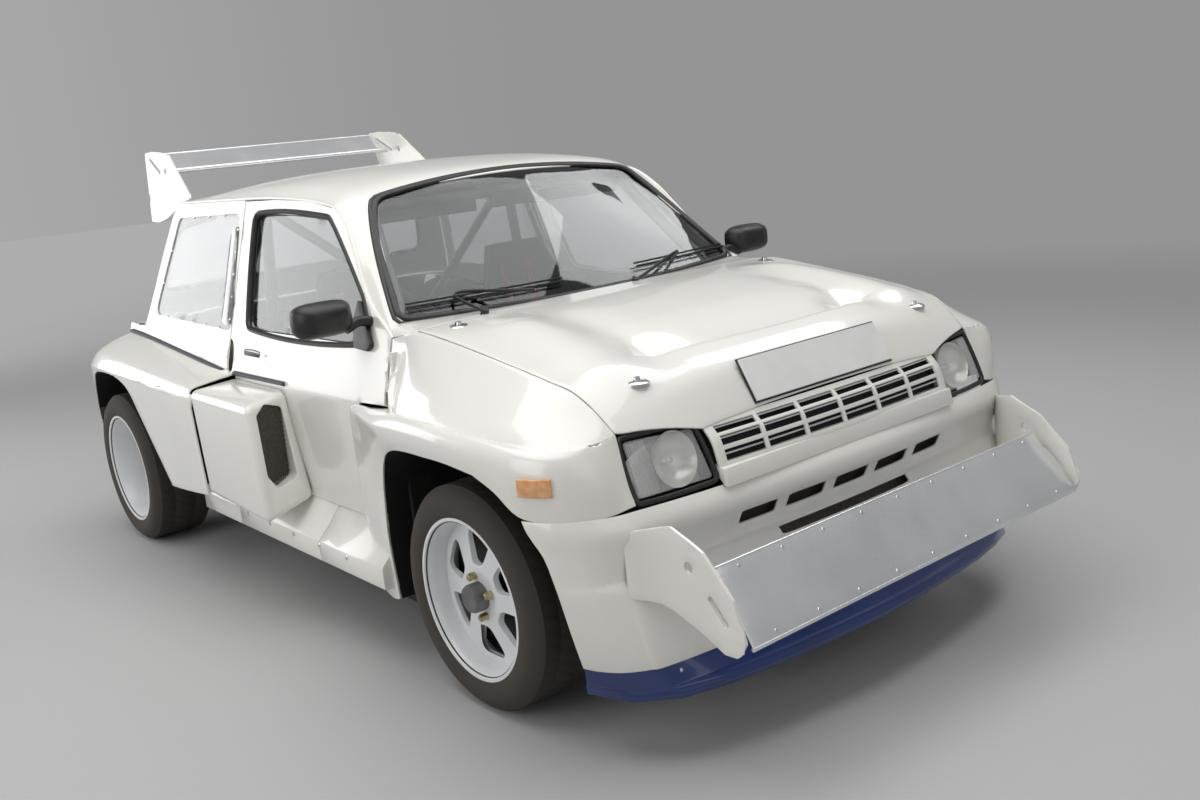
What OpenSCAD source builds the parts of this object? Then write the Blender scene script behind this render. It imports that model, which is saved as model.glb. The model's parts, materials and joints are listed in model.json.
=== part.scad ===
// Group rally hatchback with wide arches, side air boxes and front and rear wings.
// Millimetres. +X is forward, +Y is the car's left, +Z is up.
// The origin is on the ground, midway between the foremost and rearmost points.

/* [Overall] */
// Distance between the front and rear axles
wheelbase = 2391; // [2200:1:2600]
// Front axle to the lip of the front spoiler
front_overhang = 842; // [780:1:900]
// Rear axle to the back of the rear panel
rear_overhang = 367; // [330:1:420]
// Width over the door skins
cabin_width = 1510; // [1400:1:1620]
// Height of the roof's crown above the ground
roof_height = 1400; // [1320:1:1460]
// Height of the floor's underside
underside_z = 165; // [140:1:200]

/* [Panels] */
// How far each front flare stands out from the door skin
front_flare = 125; // [100:1:150]
// How far each rear flare stands out from the door skin
rear_flare = 185; // [165:1:220]
// Thickness of moulded panels
panel_t = 16; // [10:1:20]
// Thickness of the cabin's pillars and roof
pillar_t = 32; // [26:1:38]
// Thickness of a door below its window
door_t = 56; // [44:1:66]
// Thickness of a door's window frame
door_frame_t = 30; // [22:1:32]
// Thickness of windows
glass_t = 5; // [3:1:8]
// Gap round doors, bonnet and tailgate
shut_gap = 7; // [6:0.5:9]
// Gap behind a door's rear edge, which swings back a little as it opens
door_rear_gap = 13; // [12:0.5:16]

/* [Wheels] */
// Outer radius of the tyres
tyre_r = 303; // [290:1:315]
// Radius of the rim's flanges
rim_r = 220; // [205:1:230]
// Width of the front rims
front_rim_w = 212; // [190:1:225]
// Width of the rear rims
rear_rim_w = 226; // [205:1:240]
// Distance from the centre line to a front rim's outer face
front_rim_y = 812; // [800:1:830]
// Distance from the centre line to a rear rim's outer face
rear_rim_y = 901; // [890:1:915]
// Depth of a front wheel's dish
front_dish = 62; // [50:1:75]
// Depth of a rear wheel's dish
rear_dish = 150; // [130:1:160]
// Windows in each wheel's disc
wheel_windows = 6; // [5:1:8]
// Radius of the stub axles
stub_r = 30; // [22:1:36]
// Running clearance of stub axles, kingpins and hinge pins
running_fit = 0.06; // [0.03:0.01:0.1]
// Clearance of pieces that seat on each other
seat_fit = 0.3; // [0.2:0.1:0.5]

/* [Steering] */
// Distance of the kingpins from the centre line
kingpin_y = 640; // [620:1:655]
// Radius of the kingpins
kingpin_r = 12; // [10:1:16]
// Radius of the steering wheel
steering_wheel_r = 165; // [150:1:190]
// Distance of the steering wheel from the centre line
driver_y = 345; // [320:1:370]

/* [Aerodynamics] */
// Half the length of the front spoiler plate
spoiler_half = 641; // [600:1:660]
// Thickness of the front spoiler's endplates
endplate_t = 14; // [10:1:18]
// Half the length of the rear wing
wing_half = 516; // [480:1:540]
// Thickness of the rear wing's endplates
wing_endplate_t = 26; // [20:1:32]
// Radius of the tube along the rear wing's front edge
wing_tube_r = 15; // [12:1:20]

/* [Hidden] */
$fn = 64;

// Stations along the car
overall = front_overhang + wheelbase + rear_overhang;
fx = overall / 2 - front_overhang;   // front axle
rx = fx - wheelbase;                 // rear axle
nose_x = overall / 2;
tail_x = -overall / 2;
hinge_x = fx - 386;                  // door hinge line
door_front = hinge_x - 13;
post_x = hinge_x + 11;               // door hinge post
bonnet_rear = fx - 268;
screen_base = [fx - 360, roof_height - 445];
screen_top = [fx - 778, roof_height - 50];
roof_rear = rx + 308;
hatch_bend = [rx + 33, roof_height - 138];
hatch_base = [rx - 167, 860];
beam_x = fx + 440;                   // cross beam behind the lamps

// Heights and half widths
door_y = cabin_width / 2;
waist_y = door_y - 28;
rail_y = door_y - 159;               // roof rail
shoulder_z = 748;
waist_z = 865;
belt_z = 905;
rail_z = roof_height - 110;
door_base_z = 398;
sill_z = 306;
front_y = door_y + front_flare;
rear_y = door_y + rear_flare;
axle_z = tyre_r;
floor_t = 15;
floor_z = underside_z + floor_t;
split_z = 604;                       // joint between front wing and bumper
lamp_top = 762;
front_hub_y = front_rim_y - front_dish;
rear_hub_y = rear_rim_y - rear_dish;
rail_in = 400;                       // front chassis rails
rail_out = 430;
rear_rail_in = 440;
rear_rail_out = 470;
bulkhead_x = fx - 375;               // front bulkhead
rear_bulkhead_x = rx + 793;
far = 3000;                          // longer than the car

white = [0.90, 0.89, 0.84];
dark = [0.08, 0.08, 0.09];
bare = [0.72, 0.73, 0.75];
clear = [0.75, 0.82, 0.85, 0.35];

// ---------------------------------------------------------------- helpers
function unit(v) = v / norm(v);
function area2(p) = len(p) < 3 ? 0 : sum_cross(p, 0);
function sum_cross(p, i) = i >= len(p) ? 0 :
    let (a = p[i], b = p[(i + 1) % len(p)]) a[0] * b[1] - b[0] * a[1] + sum_cross(p, i + 1);
// A closed outline moved inward by t, with its corners kept sharp
function inset(p, t) = let (s = area2(p) > 0 ? -t : t, n = len(p)) [
    for (i = [0 : n - 1])
        let (d1 = unit(p[i] - p[(i + n - 1) % n]), d2 = unit(p[(i + 1) % n] - p[i]),
             n1 = [d1[1], -d1[0]], n2 = [d2[1], -d2[0]])
        p[i] + s / (1 + n1 * n2) * (n1 + n2)];
function mirrored(p) = concat(p, [for (i = [len(p) - 1 : -1 : 0]) if (p[i][0] != 0) [-p[i][0], p[i][1]]]);

// An outline drawn as [x, z], run from y0 to y1
module along_y(y0, y1) translate([0, y1, 0]) rotate([90, 0, 0]) linear_extrude(y1 - y0) children();
// An outline drawn as [y, z], run from x0 to x1
module along_x(x0, x1) translate([x0, 0, 0]) rotate([90, 0, 90]) linear_extrude(x1 - x0) children();
// An outline drawn as [x, y], run from z0 to z1
module along_z(z0, z1) translate([0, 0, z0]) linear_extrude(z1 - z0) children();
module block(low, high) translate(low) cube(high - low);
module both() { children(); mirror([0, 1, 0]) children(); }
module side(s) { if (s > 0) children(); else mirror([0, 1, 0]) children(); }
// A round bar between two points
module bar(a, b, r) {
    d = b - a;
    translate(a) rotate([0, acos(d[2] / norm(d)), atan2(d[1], d[0])]) cylinder(h = norm(d), r = r, $fn = 32);
}

// ---------------------------------------------------------------- outlines
// Half of the cabin's cross section, [y, z], from the floor up to the roof's crown
cabin_section = mirrored([[door_y - 5, -far], [door_y - 5, door_base_z], [door_y, 600], [door_y, 760],
    [waist_y, waist_z], [rail_y, rail_z], [rail_y - 26, roof_height - 70],
    [rail_y - 90, roof_height - 40], [rail_y - 260, roof_height - 12], [0, roof_height]]);
// The cabin from the side, [x, z]
cabin_profile = [[bonnet_rear - shut_gap, -far], [bonnet_rear - shut_gap, screen_base[1]], screen_base,
    screen_top, [fx - 950, roof_height - 16], [fx - 1258, roof_height], [rx + 733, roof_height - 6],
    [rx + 433, roof_height - 31], [roof_rear, roof_height - 50], [rx + 175, roof_height - 84], hatch_bend,
    hatch_base, [hatch_base[0], -far]];
// A door from the side, [x, z], grown by g in front, above and below, and by r behind
function door_outline(g, r) = [
    [door_front + g, 932 + 0.6 * g], [fx - 576 + g, 1058 + g], [fx - 730 + g, rail_z - 54 + g],
    [fx - 808 + g, rail_z + g], [fx - 1250, rail_z + 20 + g], [rx + 868 - r, rail_z + 16 + g],
    [rx + 886 - r, 880], [rx + 886 - r, shoulder_z - g], [rx + 965 - r, shoulder_z - g],
    [rx + 941 - r, door_base_z - g], [fx - 503 + g, door_base_z - g], [fx - 570 + g, shoulder_z - g],
    [door_front + g, shoulder_z - g]];
door_window = [[fx - 855, rail_z - 26], [fx - 580, roof_height - 364], [fx - 488, belt_z + 3],
    [rx + 1014, belt_z], [rx + 970, rail_z - 6]];
quarter_window = [[rx + 258, rail_z - 15], [rx + 815, rail_z - 5], [rx + 850, belt_z - 4], [rx + 105, belt_z + 6]];
// The tailgate's share of the cabin from the side, [x, z]
function tailgate_outline(g) = [[roof_rear - shut_gap + g, far], [roof_rear - shut_gap + g, roof_height - 60],
    [rx + 193 + g, roof_height - 110], [rx + 13 + g, waist_z - g], [tail_x - 100, waist_z - g], [tail_x - 100, far]];
// Windscreen and tailgate window from the front, [y, z]
screen_outline = mirrored([[door_y - 90, screen_base[1] + 14], [door_y - 224, screen_top[1] - 26]]);
hatch_outline = mirrored([[door_y - 125, waist_z + 60], [door_y - 215, hatch_bend[1] - 22]]);

// The cabin's outside, moved inward by t
module cabin_solid(t) intersection() {
    along_x(-far, far) polygon(inset(cabin_section, t));
    along_y(-far, far) polygon(inset(cabin_profile, t));
}
module cabin_layer(t0, t1) difference() { cabin_solid(t0); cabin_solid(t1); }

// Openings of the wheel arches from the side, [x, z]
module front_arch() {
    translate([fx - 158, 515]) circle(r = 200);
    translate([fx + 52, 415]) circle(r = 300);
    polygon([[fx - 358, -far], [fx - 358, 515], [fx - 158, 715], [fx + 52, 715], [fx + 335, 515],
        [fx + 479, 271], [fx + 600, -far]]);
}
module rear_arch() {
    translate([rx - 13, 400]) circle(r = 312);
    translate([rx + 173, 430]) circle(r = 282);
    polygon([[rx - 325, -far], [rx - 325, 400], [rx - 13, 712], [rx + 173, 712], [rx + 346, 653], [rx + 639, 348],
        [rx + 639, -far]]);
}

// ---------------------------------------------------------------- structure
module floor_tub() color(dark) {
    difference() {
        union() {
            // floor between the wheels
            block([rear_bulkhead_x, -door_y + 55, underside_z], [bulkhead_x + 15, door_y - 55, floor_z]);
            block([bulkhead_x, -rail_out, underside_z], [beam_x + 20, rail_out, floor_z]);
            block([tail_x + 100, -rear_rail_out, underside_z], [rear_bulkhead_x + 15, rear_rail_out, floor_z]);
            // bulkheads
            block([bulkhead_x, -door_y + 55, underside_z], [bulkhead_x + 15, door_y - 55, belt_z]);
            block([rear_bulkhead_x, -door_y + 55, underside_z], [rear_bulkhead_x + 15, door_y - 55, 846]);
            both() {
                // inner wings and rear rails
                block([bulkhead_x, rail_in, underside_z], [beam_x + 20, rail_out, 745]);
                block([tail_x + 100, rear_rail_in, underside_z], [rear_bulkhead_x + 15, rear_rail_out, 560]);
                // sill boxes
                block([rear_bulkhead_x, door_y - 115, underside_z], [bulkhead_x + 15, door_y - 20, door_base_z - 14]);
                // hinge posts and door pillars
                block([post_x, door_y - 115, underside_z], [bulkhead_x + 15, door_y - 20, belt_z]);
                block([rear_bulkhead_x, door_y - 115, underside_z], [rx + 886 - door_rear_gap, door_y - 34, 846]);
                // shelves for the rear bonnet pins
                block([bonnet_rear + 15, rail_in, 735], [bonnet_rear + 85, 640, 745]);
                block([bulkhead_x, 600, 735], [bonnet_rear + 85, 640, 745]);
            }
            // cross beam for lamps, grille and front bonnet pins
            block([beam_x, -660, 565], [beam_x + 20, 660, 745]);
            block([beam_x, -rail_out, underside_z], [beam_x + 20, rail_out, 600]);
            block([beam_x - 60, -rail_out, 735], [beam_x + 20, rail_out, 745]);
            both() block([beam_x - 60, rail_out - 5, 735], [beam_x + 20, 600, 745]);
            block([tail_x + 100, -rear_rail_out, underside_z], [tail_x + 115, rear_rail_out, 560]);
        }
        // column hole and tailpipe holes
        bar(column_top, column_end + 60 * column_dir, column_r + seat_fit);
        both() translate([tail_x + 90, 170, 400]) rotate([0, 90, 0]) cylinder(h = 40, r = 62);
    }
    both() {
        bonnet_pin([beam_x - 28, 533, 745], 862);
        bonnet_pin([bonnet_rear + 50, 600, 745], 975);
        door_hinge_post();
    }
}
module bonnet_pin(at, top) translate(at) cylinder(h = top - at[2], r = 8, $fn = 32);

// Hinge lugs on the body with their pins, at two heights
hinge_heights = [762, 818];
hinge_h = 38;
hinge_r = 8;
hinge_pin_r = 4;
hinge_axis = [hinge_x, door_y - 10];
module door_hinge_post() for (z = hinge_heights) {
    block([hinge_axis[0], hinge_axis[1] - 24, z - 20], [hinge_x + 20, hinge_axis[1] - 4, z]);
    translate([hinge_axis[0], hinge_axis[1], z - 20]) cylinder(h = 20, r = hinge_r, $fn = 32);
    translate([hinge_axis[0], hinge_axis[1], z - 1]) cylinder(h = hinge_h, r = hinge_pin_r, $fn = 32);
}

module cabin_shell() color(white) {
    difference() {
        cabin_layer(0, pillar_t);
        block([-far, -far, -far], [far, far, 846 + seat_fit]);
        block([hinge_x - 20, -far, -far], [far, far, belt_z + seat_fit]);
        for (y = gate_hinge_y) block([gate_axis[0] - 40, y - 56, gate_axis[1] - 50], [gate_axis[0] + 18, y + 56, far]);
        both() along_y(0, far) polygon(door_outline(shut_gap, door_rear_gap));
        both() along_y(rail_y - 120, far) polygon(quarter_window);
        along_y(-far, far) polygon(tailgate_outline(shut_gap));
        intersection() {
            along_x(screen_top[0] - 60, far) polygon(screen_outline);
            block([-far, -far, 0], [far, far, far]);
        }
    }
    gate_brackets();
}
module windscreen() color(clear) intersection() {
    cabin_layer(3, 3 + glass_t);
    along_x(screen_top[0] - 60, bonnet_rear - 60) polygon(screen_outline);
}
module quarter_windows() color(clear) both() intersection() {
    cabin_layer(3, 3 + glass_t);
    along_y(rail_y - 120, far) polygon(quarter_window);
}

// ---------------------------------------------------------------- body panels
// The front wing's outside, moved inward by t
wing_section = [[front_rim_y - 400, -far], [front_rim_y - 400, far], [door_y - 65, far], [door_y - 65, 960],
    [door_y, 878], [door_y + 75, 800], [front_y - 8, 730], [front_y, 640], [front_y - 20, -far]];
wing_side = [[hinge_x - far / 10, 175], [hinge_x - far / 10, 955], [fx - 205, 948], [fx + 155, 893],
    [fx + 385, 848], [fx + 500, 772], [fx + 545, 770], [fx + 545, 175]];
wing_plan = [[fx - 640, 0], [fx - 640, door_y + 18], [fx - 358, door_y + 58], [fx - 200, door_y + 108],
    [fx - 60, front_y], [fx + 180, front_y], [fx + 362, front_y - 30], [fx + 470, front_y - 110],
    [fx + 535, front_y - 200], [fx + 545, 0]];
module wing_solid(t) intersection() {
    along_x(-far, far) polygon(inset(wing_section, t));
    along_y(-far, far) polygon(inset(wing_side, t));
    along_z(-far, far) polygon(inset(wing_plan, t));
}
flare_gap = shut_gap + 10;            // the door's lower front corner swings past the flare
module front_wings() color(white) both() difference() {
    wing_solid(0);
    wing_solid(panel_t);
    // inboard of the bonnet's shut line
    block([-far, -far, -far], [far, door_y - 62, far]);
    along_y(0, far) front_arch();
    // behind the door's shut line, stepped below the shoulder
    along_y(0, far) polygon([[-far, far], [door_front + shut_gap + 5, far], [door_front + shut_gap + 5, shoulder_z - shut_gap],
        [fx - 570 + flare_gap - 5, shoulder_z - shut_gap], [fx - 503 + flare_gap, door_base_z - shut_gap],
        [fx - 503 + flare_gap, -far], [-far, -far]]);
    intersection() {
        cabin_solid(-seat_fit);
        block([0, 0, belt_z - 40], [far, far, far]);
    }
    // inboard of the door post, and the space for the sill
    block([-far, -far, 0], [bulkhead_x + 16, door_y - 19, far]);
    block([fx - 520, 0, 0], [fx - 358, door_y + 26, far]);
    // below the joint with the bumper, and round the lamp
    block([fx, -far, -far], [far, far, split_z]);
    block([beam_x - 20, 0, 0], [far, lamp_out + seat_fit, far]);
}

module sills() color(white) both() {
    difference() {
        along_x(rx + 400, fx - 510) polygon([[door_y - 20 + seat_fit, door_base_z - 14], [door_y, door_base_z - 8],
            [door_y + 62, sill_z], [door_y + 80, sill_z], [door_y + 80, sill_z - 70], [door_y + 66, sill_z - 70],
            [door_y + 66, sill_z - 14], [door_y - 4, door_base_z - 26], [door_y - 4, sill_z - 70],
            [door_y - 20 + seat_fit, sill_z - 70]]);
        along_y(0, far) rear_arch();
    }
}

rear_section = [[0, -far], [0, far], [door_y - 26, far], [door_y - 26, 846], [door_y + 20, 838], [door_y + 130, 768],
    [rear_y - 14, 715], [rear_y, 600], [rear_y, 380], [rear_y - 22, -far]];
rear_side = [[rx + 930 - door_rear_gap, 240], [rx + 965 - door_rear_gap, shoulder_z - 10],
    [rx + 860, shoulder_z - 10], [rx + 350, 846],
    [tail_x + 200, 846], [tail_x + 70, 700], [tail_x + 8, 610], [tail_x + 4, 420], [tail_x + 40, 240]];
rear_plan = [[rx + 966, 0], [rx + 966, rear_y - 8], [rx + 400, rear_y], [rx - 140, rear_y],
    [rx - 270, rear_y - 30], [tail_x + 40, rear_y - 75], [tail_x + 4, rear_y - 200], [tail_x + 4, 0]];
module rear_solid(t) intersection() {
    along_x(-far, far) polygon(inset(rear_section, t));
    along_y(-far, far) polygon(inset(rear_side, t));
    along_z(-far, far) polygon(inset(rear_plan, t));
}
module rear_quarters() color(white) both() {
    difference() {
        rear_solid(0);
        rear_solid(panel_t);
        block([-far, -far, -far], [far, lamp_rear_out, far]);
        block([rx - 120, -far, -far], [far, door_y - 33.7, far]);
        along_y(0, far) rear_arch();
        // room for the door, its hinge-side step and the sill
        along_y(0, door_y + 2) polygon(door_outline(shut_gap, door_rear_gap));
        along_x(rx + 380, far) polygon([[0, 0], [door_y + 80 + seat_fit, 0], [door_y + 80 + seat_fit, sill_z + seat_fit],
            [door_y + 62, sill_z + seat_fit], [door_y, door_base_z - 8 + seat_fit], [0, door_base_z - 8 + seat_fit]]);
        block([rear_bulkhead_x - 1, 0, -far], [far, door_y - 19.7, far]);
    }
}

// Rear panel between the quarters, below the tailgate
lamp_rear_in = door_y - 275;
lamp_rear_out = door_y - 55;
module rear_panel() color(white) difference() {
    union() {
        along_y(-lamp_rear_out + seat_fit, lamp_rear_out - seat_fit) polygon([[tail_x + 201, waist_z - 25],
            [tail_x + 70, 700], [tail_x + 8, 610], [tail_x, 430], [tail_x + 45, 240], [tail_x + 56, 240],
            [tail_x + 25, 430], [tail_x + 33, 600], [tail_x + 92, 690], [tail_x + 224, waist_z - 25]]);
        // brackets back to the rear rails
        both() block([tail_x + 20, rear_rail_in, 440], [tail_x + 100 - seat_fit, rear_rail_out, 500]);
        // pans behind the lamps and the plate
        both() block([tail_x + 60, lamp_rear_in - 10, 630], [tail_x + 180, lamp_rear_out - seat_fit, 740]);
        block([tail_x + 14, -272, 470], [tail_x + 34, 272, 600]);
    }
    // lamp pockets, exhaust openings and a recess for the plate
    both() block([tail_x - 1, lamp_rear_in, 640], [tail_x + 170, lamp_rear_out + 1, 730]);
    both() translate([tail_x - 10, 170, 400]) rotate([0, 90, 0]) cylinder(h = 200, r = 62);
    block([tail_x - 1, -262, 480], [tail_x + 14, 262, 596]);
}
module tail_lamps() color([0.55, 0.03, 0.03]) both() intersection() {
    block([tail_x, lamp_rear_in + seat_fit, 640 + seat_fit], [tail_x + 130, lamp_rear_out - 1, 730 - seat_fit]);
    along_y(0, far) polygon([[tail_x + 26, 636], [tail_x + 96, 734], [tail_x + 170, 734], [tail_x + 100, 636]]);
}

// Front bumper from the split line down to the splitter
bumper_plan = [[fx + 602, 0], [fx + 590, 300], [fx + 565, 520], [fx + 535, door_y - 75], [fx + 505, door_y + 15],
    [fx + 470, front_y - 55], [fx + 420, front_y - 25], [fx + 300, front_y - 12], [fx + 100, front_y - 12], [fx + 100, 0]];
bumper_side = [[0, 190], [0, split_z - seat_fit], [fx + 580, split_z - seat_fit], [fx + 602, 560], [fx + 575, 450],
    [fx + 588, 320], [fx + 588, 190]];
module bumper_solid(t) intersection() {
    both() along_z(-far, far) polygon(inset(bumper_plan, t));
    along_y(-far, far) polygon(inset(bumper_side, t));
}
module front_bumper() color(white) {
    difference() {
        bumper_solid(0);
        intersection() {
            both() along_z(190 - panel_t, split_z - panel_t) polygon(inset(concat([for (q = bumper_plan) if (q[1] > 0 && q[0] > fx + 100) q],
                [[fx + 50, front_y - 12], [fx + 50, -2 * panel_t], [fx + 602, -2 * panel_t]]), panel_t));
            along_y(-far, far) polygon(inset(concat([[0, -far], [0, far], [fx + 580, far]], [for (q = bumper_side) if (q[0] > 0) q],
                [[fx + 588, -far]]), panel_t));
        }
        both() along_y(rail_out, far) front_arch();
        block([-far, -662, 0], [beam_x + 20 + seat_fit, 662, far]);
        // five vents in the upper recess and one long slot below
        for (i = [-2 : 2]) block([fx + 500, i * 84 - 38, 500], [far, i * 84 + 38, 536]);
        block([fx + 500, -240, 418], [far, 240, 444]);
    }
}
lamp_in = 443;
lamp_out = 674;
lamp_low = 617;
module headlamps() color([0.85, 0.88, 0.9]) both() intersection() {
    along_z(lamp_low, lamp_top) polygon([[beam_x + 20, lamp_in], [beam_x + 20, lamp_out], [fx + 545, lamp_out], [fx + 575, lamp_in]]);
    along_y(0, far) polygon([[0, 0], [fx + 570, 0], [fx + 570, lamp_low], [fx + 516, lamp_top], [0, lamp_top]]);
}
module grille() color(white) difference() {
    union() {
        along_y(-lamp_in + seat_fit, lamp_in - seat_fit) polygon([[beam_x + 20, 622], [fx + 590, 622], [fx + 545, 758], [fx + 520, 758],
            [fx + 560, 640], [beam_x + 20, 640]]);
    }
    for (row = [0 : 2], side_of = [-1, 1], col = [0 : 2])
        block([fx + 460, side_of * 75 + side_of * col * 118 - (side_of < 0 ? 108 : 0), 646 + row * 36],
            [far, side_of * 75 + side_of * col * 118 + (side_of > 0 ? 108 : 0), 672 + row * 36]);
}

// Front spoiler: a plate on two endplates, above the splitter
spoiler_top = [fx + 722, 494];
spoiler_low = [nose_x - 4, 346];
module front_spoiler() color(bare) along_y(-spoiler_half, spoiler_half)
    polygon([spoiler_top, spoiler_low, spoiler_low - [6, 4], spoiler_top - [6, 4]]);
module spoiler_endplates() color(white) both() difference() {
    along_y(spoiler_half, spoiler_half + endplate_t) polygon([[fx + 455, 400], [fx + 455, 556], [fx + 640, 586],
        [fx + 728, 545], [fx + 800, 462], [nose_x, 372], [nose_x - 8, 340], [nose_x - 30, 330],
        [nose_x - 66, 330], [fx + 640, 395]]);
    bumper_solid(0);
}
splitter_plan = [[fx + 687, 0], [fx + 684, 107], [fx + 658, 420], [fx + 618, 609], [fx + 555, door_y - 34],
    [fx + 460, door_y + 20], [fx + 440, door_y + 22], [fx + 440, 0]];
module splitter() color([0.03, 0.09, 0.28]) difference() {
    union() {
        both() along_z(underside_z, underside_z + 14) polygon(splitter_plan);
        // skirt round the bumper's lower edge
        intersection() {
            difference() {
                both() along_z(underside_z + 5, 285) polygon(inset(bumper_plan, -10));
                both() along_z(0, far) polygon(inset(bumper_plan, -seat_fit));
                both() along_y(rail_out, far) front_arch();
                block([0, -far, 0], [fx + 380, far, far]);
            }
            both() along_z(0, far) polygon(inset(splitter_plan, -30));
        }
    }
    block([0, -662, 0], [beam_x + 20 + seat_fit, 662, far]);
}

// ---------------------------------------------------------------- bonnet and tailgate
bonnet_top = [[bonnet_rear, screen_base[1] + 18], [fx - 58, 972], [fx + 192, 938], [fx + 342, 902],
    [fx + 442, 862], [fx + 530, lamp_top + 8]];
bonnet_edge = [[bonnet_rear, screen_base[1] - 12], [fx + 155, 890], [fx + 385, 848], [fx + 506, lamp_top + 8]];
function strip(p, t) = concat(p, [for (i = [len(p) - 1 : -1 : 0]) p[i] - [i == len(p) - 1 ? t : 0, i == len(p) - 1 ? 0 : t]]);
module bonnet() color(white) difference() {
    union() {
        along_y(-560, 560) polygon(strip(bonnet_top, panel_t));
        both() along_y(555, door_y - 69) polygon(strip(bonnet_edge, panel_t));
        both() along_y(548, 566) polygon(concat(bonnet_top,
            [for (i = [len(bonnet_edge) - 1 : -1 : 0]) bonnet_edge[i] - [i == 3 ? panel_t : 0, i == 3 ? 0 : panel_t]]));
        // pads that ride on the pins
        both() translate([beam_x - 28, 533, 800]) cylinder(h = 58, r = 20, $fn = 32);
        both() translate([bonnet_rear + 50, 600, 880]) cylinder(h = 50, r = 20, $fn = 32);
    }
    both() translate([beam_x - 28, 533, 700]) cylinder(h = 300, r = 8 + seat_fit, $fn = 32);
    both() translate([bonnet_rear + 50, 600, 700]) cylinder(h = 400, r = 8 + seat_fit, $fn = 32);
}
module tailgate() color(white) {
    difference() {
        union() {
            intersection() {
                cabin_layer(0, pillar_t - 6);
                along_y(-far, far) polygon(tailgate_outline(0));
                block([-far, -far, waist_z], [far, far, far]);
            }
            for (y = gate_hinge_y) gate_leaf(y);
        }
        along_x(-far, 0) polygon(hatch_outline);
        // room for the body's hinge eyes
        for (y = gate_hinge_y, e = [-1, 1]) translate([0, y + e * 43 - 12, 0]) rotate([-90, 0, 0])
            translate([gate_axis[0], -gate_axis[1], 0]) cylinder(h = 24, r = 18, $fn = 32);
        for (y = gate_hinge_y) translate([0, y - 40, 0]) rotate([-90, 0, 0])
            translate([gate_axis[0], -gate_axis[1], 0]) cylinder(h = 80, r = hinge_pin_r + running_fit, $fn = 32);
    }
}
gate_axis = [roof_rear - 3, roof_height - 46];
gate_hinge_y = [-330, 330];
module gate_leaf(y) {
    translate([0, y - 30, 0]) rotate([-90, 0, 0]) translate([gate_axis[0], -gate_axis[1], 0]) cylinder(h = 60, r = 12, $fn = 32);
    block([gate_axis[0] - 60, y - 30, gate_axis[1] - 22], [gate_axis[0], y + 30, gate_axis[1] - 2]);
}
module gate_brackets() for (y = gate_hinge_y) {
    for (e = [-1, 1]) {
        translate([0, y + e * 41 - 10, 0]) rotate([-90, 0, 0]) translate([gate_axis[0], -gate_axis[1], 0]) cylinder(h = 20, r = 12, $fn = 32);
        block([gate_axis[0], y + e * 41 - 10, gate_axis[1] - 12], [gate_axis[0] + 70, y + e * 41 + 10, gate_axis[1] + 6]);
    }
    translate([0, y - 45, 0]) rotate([-90, 0, 0]) translate([gate_axis[0], -gate_axis[1], 0]) cylinder(h = 90, r = hinge_pin_r, $fn = 32);
}
module tailgate_window() color(clear) intersection() {
    cabin_layer(3, 3 + glass_t);
    along_x(-far, 0) polygon(hatch_outline);
    along_y(-far, far) polygon(tailgate_outline(0));
}
wing_front = [rx - 56, roof_height + 58];
wing_back = [rx - 198, roof_height + 131];
module rear_wing() color(bare) {
    along_y(-wing_half, wing_half) polygon([wing_front, wing_back, wing_back - [3, -6], wing_front + [-3, 6]]);
    translate([wing_front[0], -wing_half, wing_front[1]]) rotate([-90, 0, 0]) cylinder(h = 2 * wing_half, r = wing_tube_r, $fn = 32);
}
module wing_endplates() color(white) both() difference() {
    along_y(wing_half, wing_half + wing_endplate_t) polygon([[roof_rear - 25, roof_height - 90], [roof_rear - 25, roof_height - 48],
        [rx - 40, roof_height + 138], [rx - 222, roof_height + 146], [rx - 100, roof_height - 155]]);
    cabin_solid(0);
}

// ---------------------------------------------------------------- doors
module door_solid() difference() {
    union() {
        intersection() {
            cabin_layer(0, door_frame_t);
            along_y(0, far) polygon(door_outline(0, 0));
        }
        intersection() {
            cabin_layer(0, door_t);
            along_y(0, far) polygon(door_outline(0, 0));
            block([-far, 0, 0], [far, far, belt_z - 25]);
        }
    }
    along_y(rail_y - 120, far) polygon(door_window);
}
module door(s) color(white) side(s) {
    difference() {
        union() {
            door_solid();
            for (z = hinge_heights) door_leaf(z);
        }
        for (z = hinge_heights) {
            translate([hinge_axis[0], hinge_axis[1], z - 30]) cylinder(h = 90, r = hinge_pin_r + running_fit, $fn = 32);
            // clear of the body's lug
            translate([hinge_axis[0], hinge_axis[1], z - 26]) cylinder(h = 26.5, r = hinge_r + 6, $fn = 32);
        }
    }
}
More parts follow.
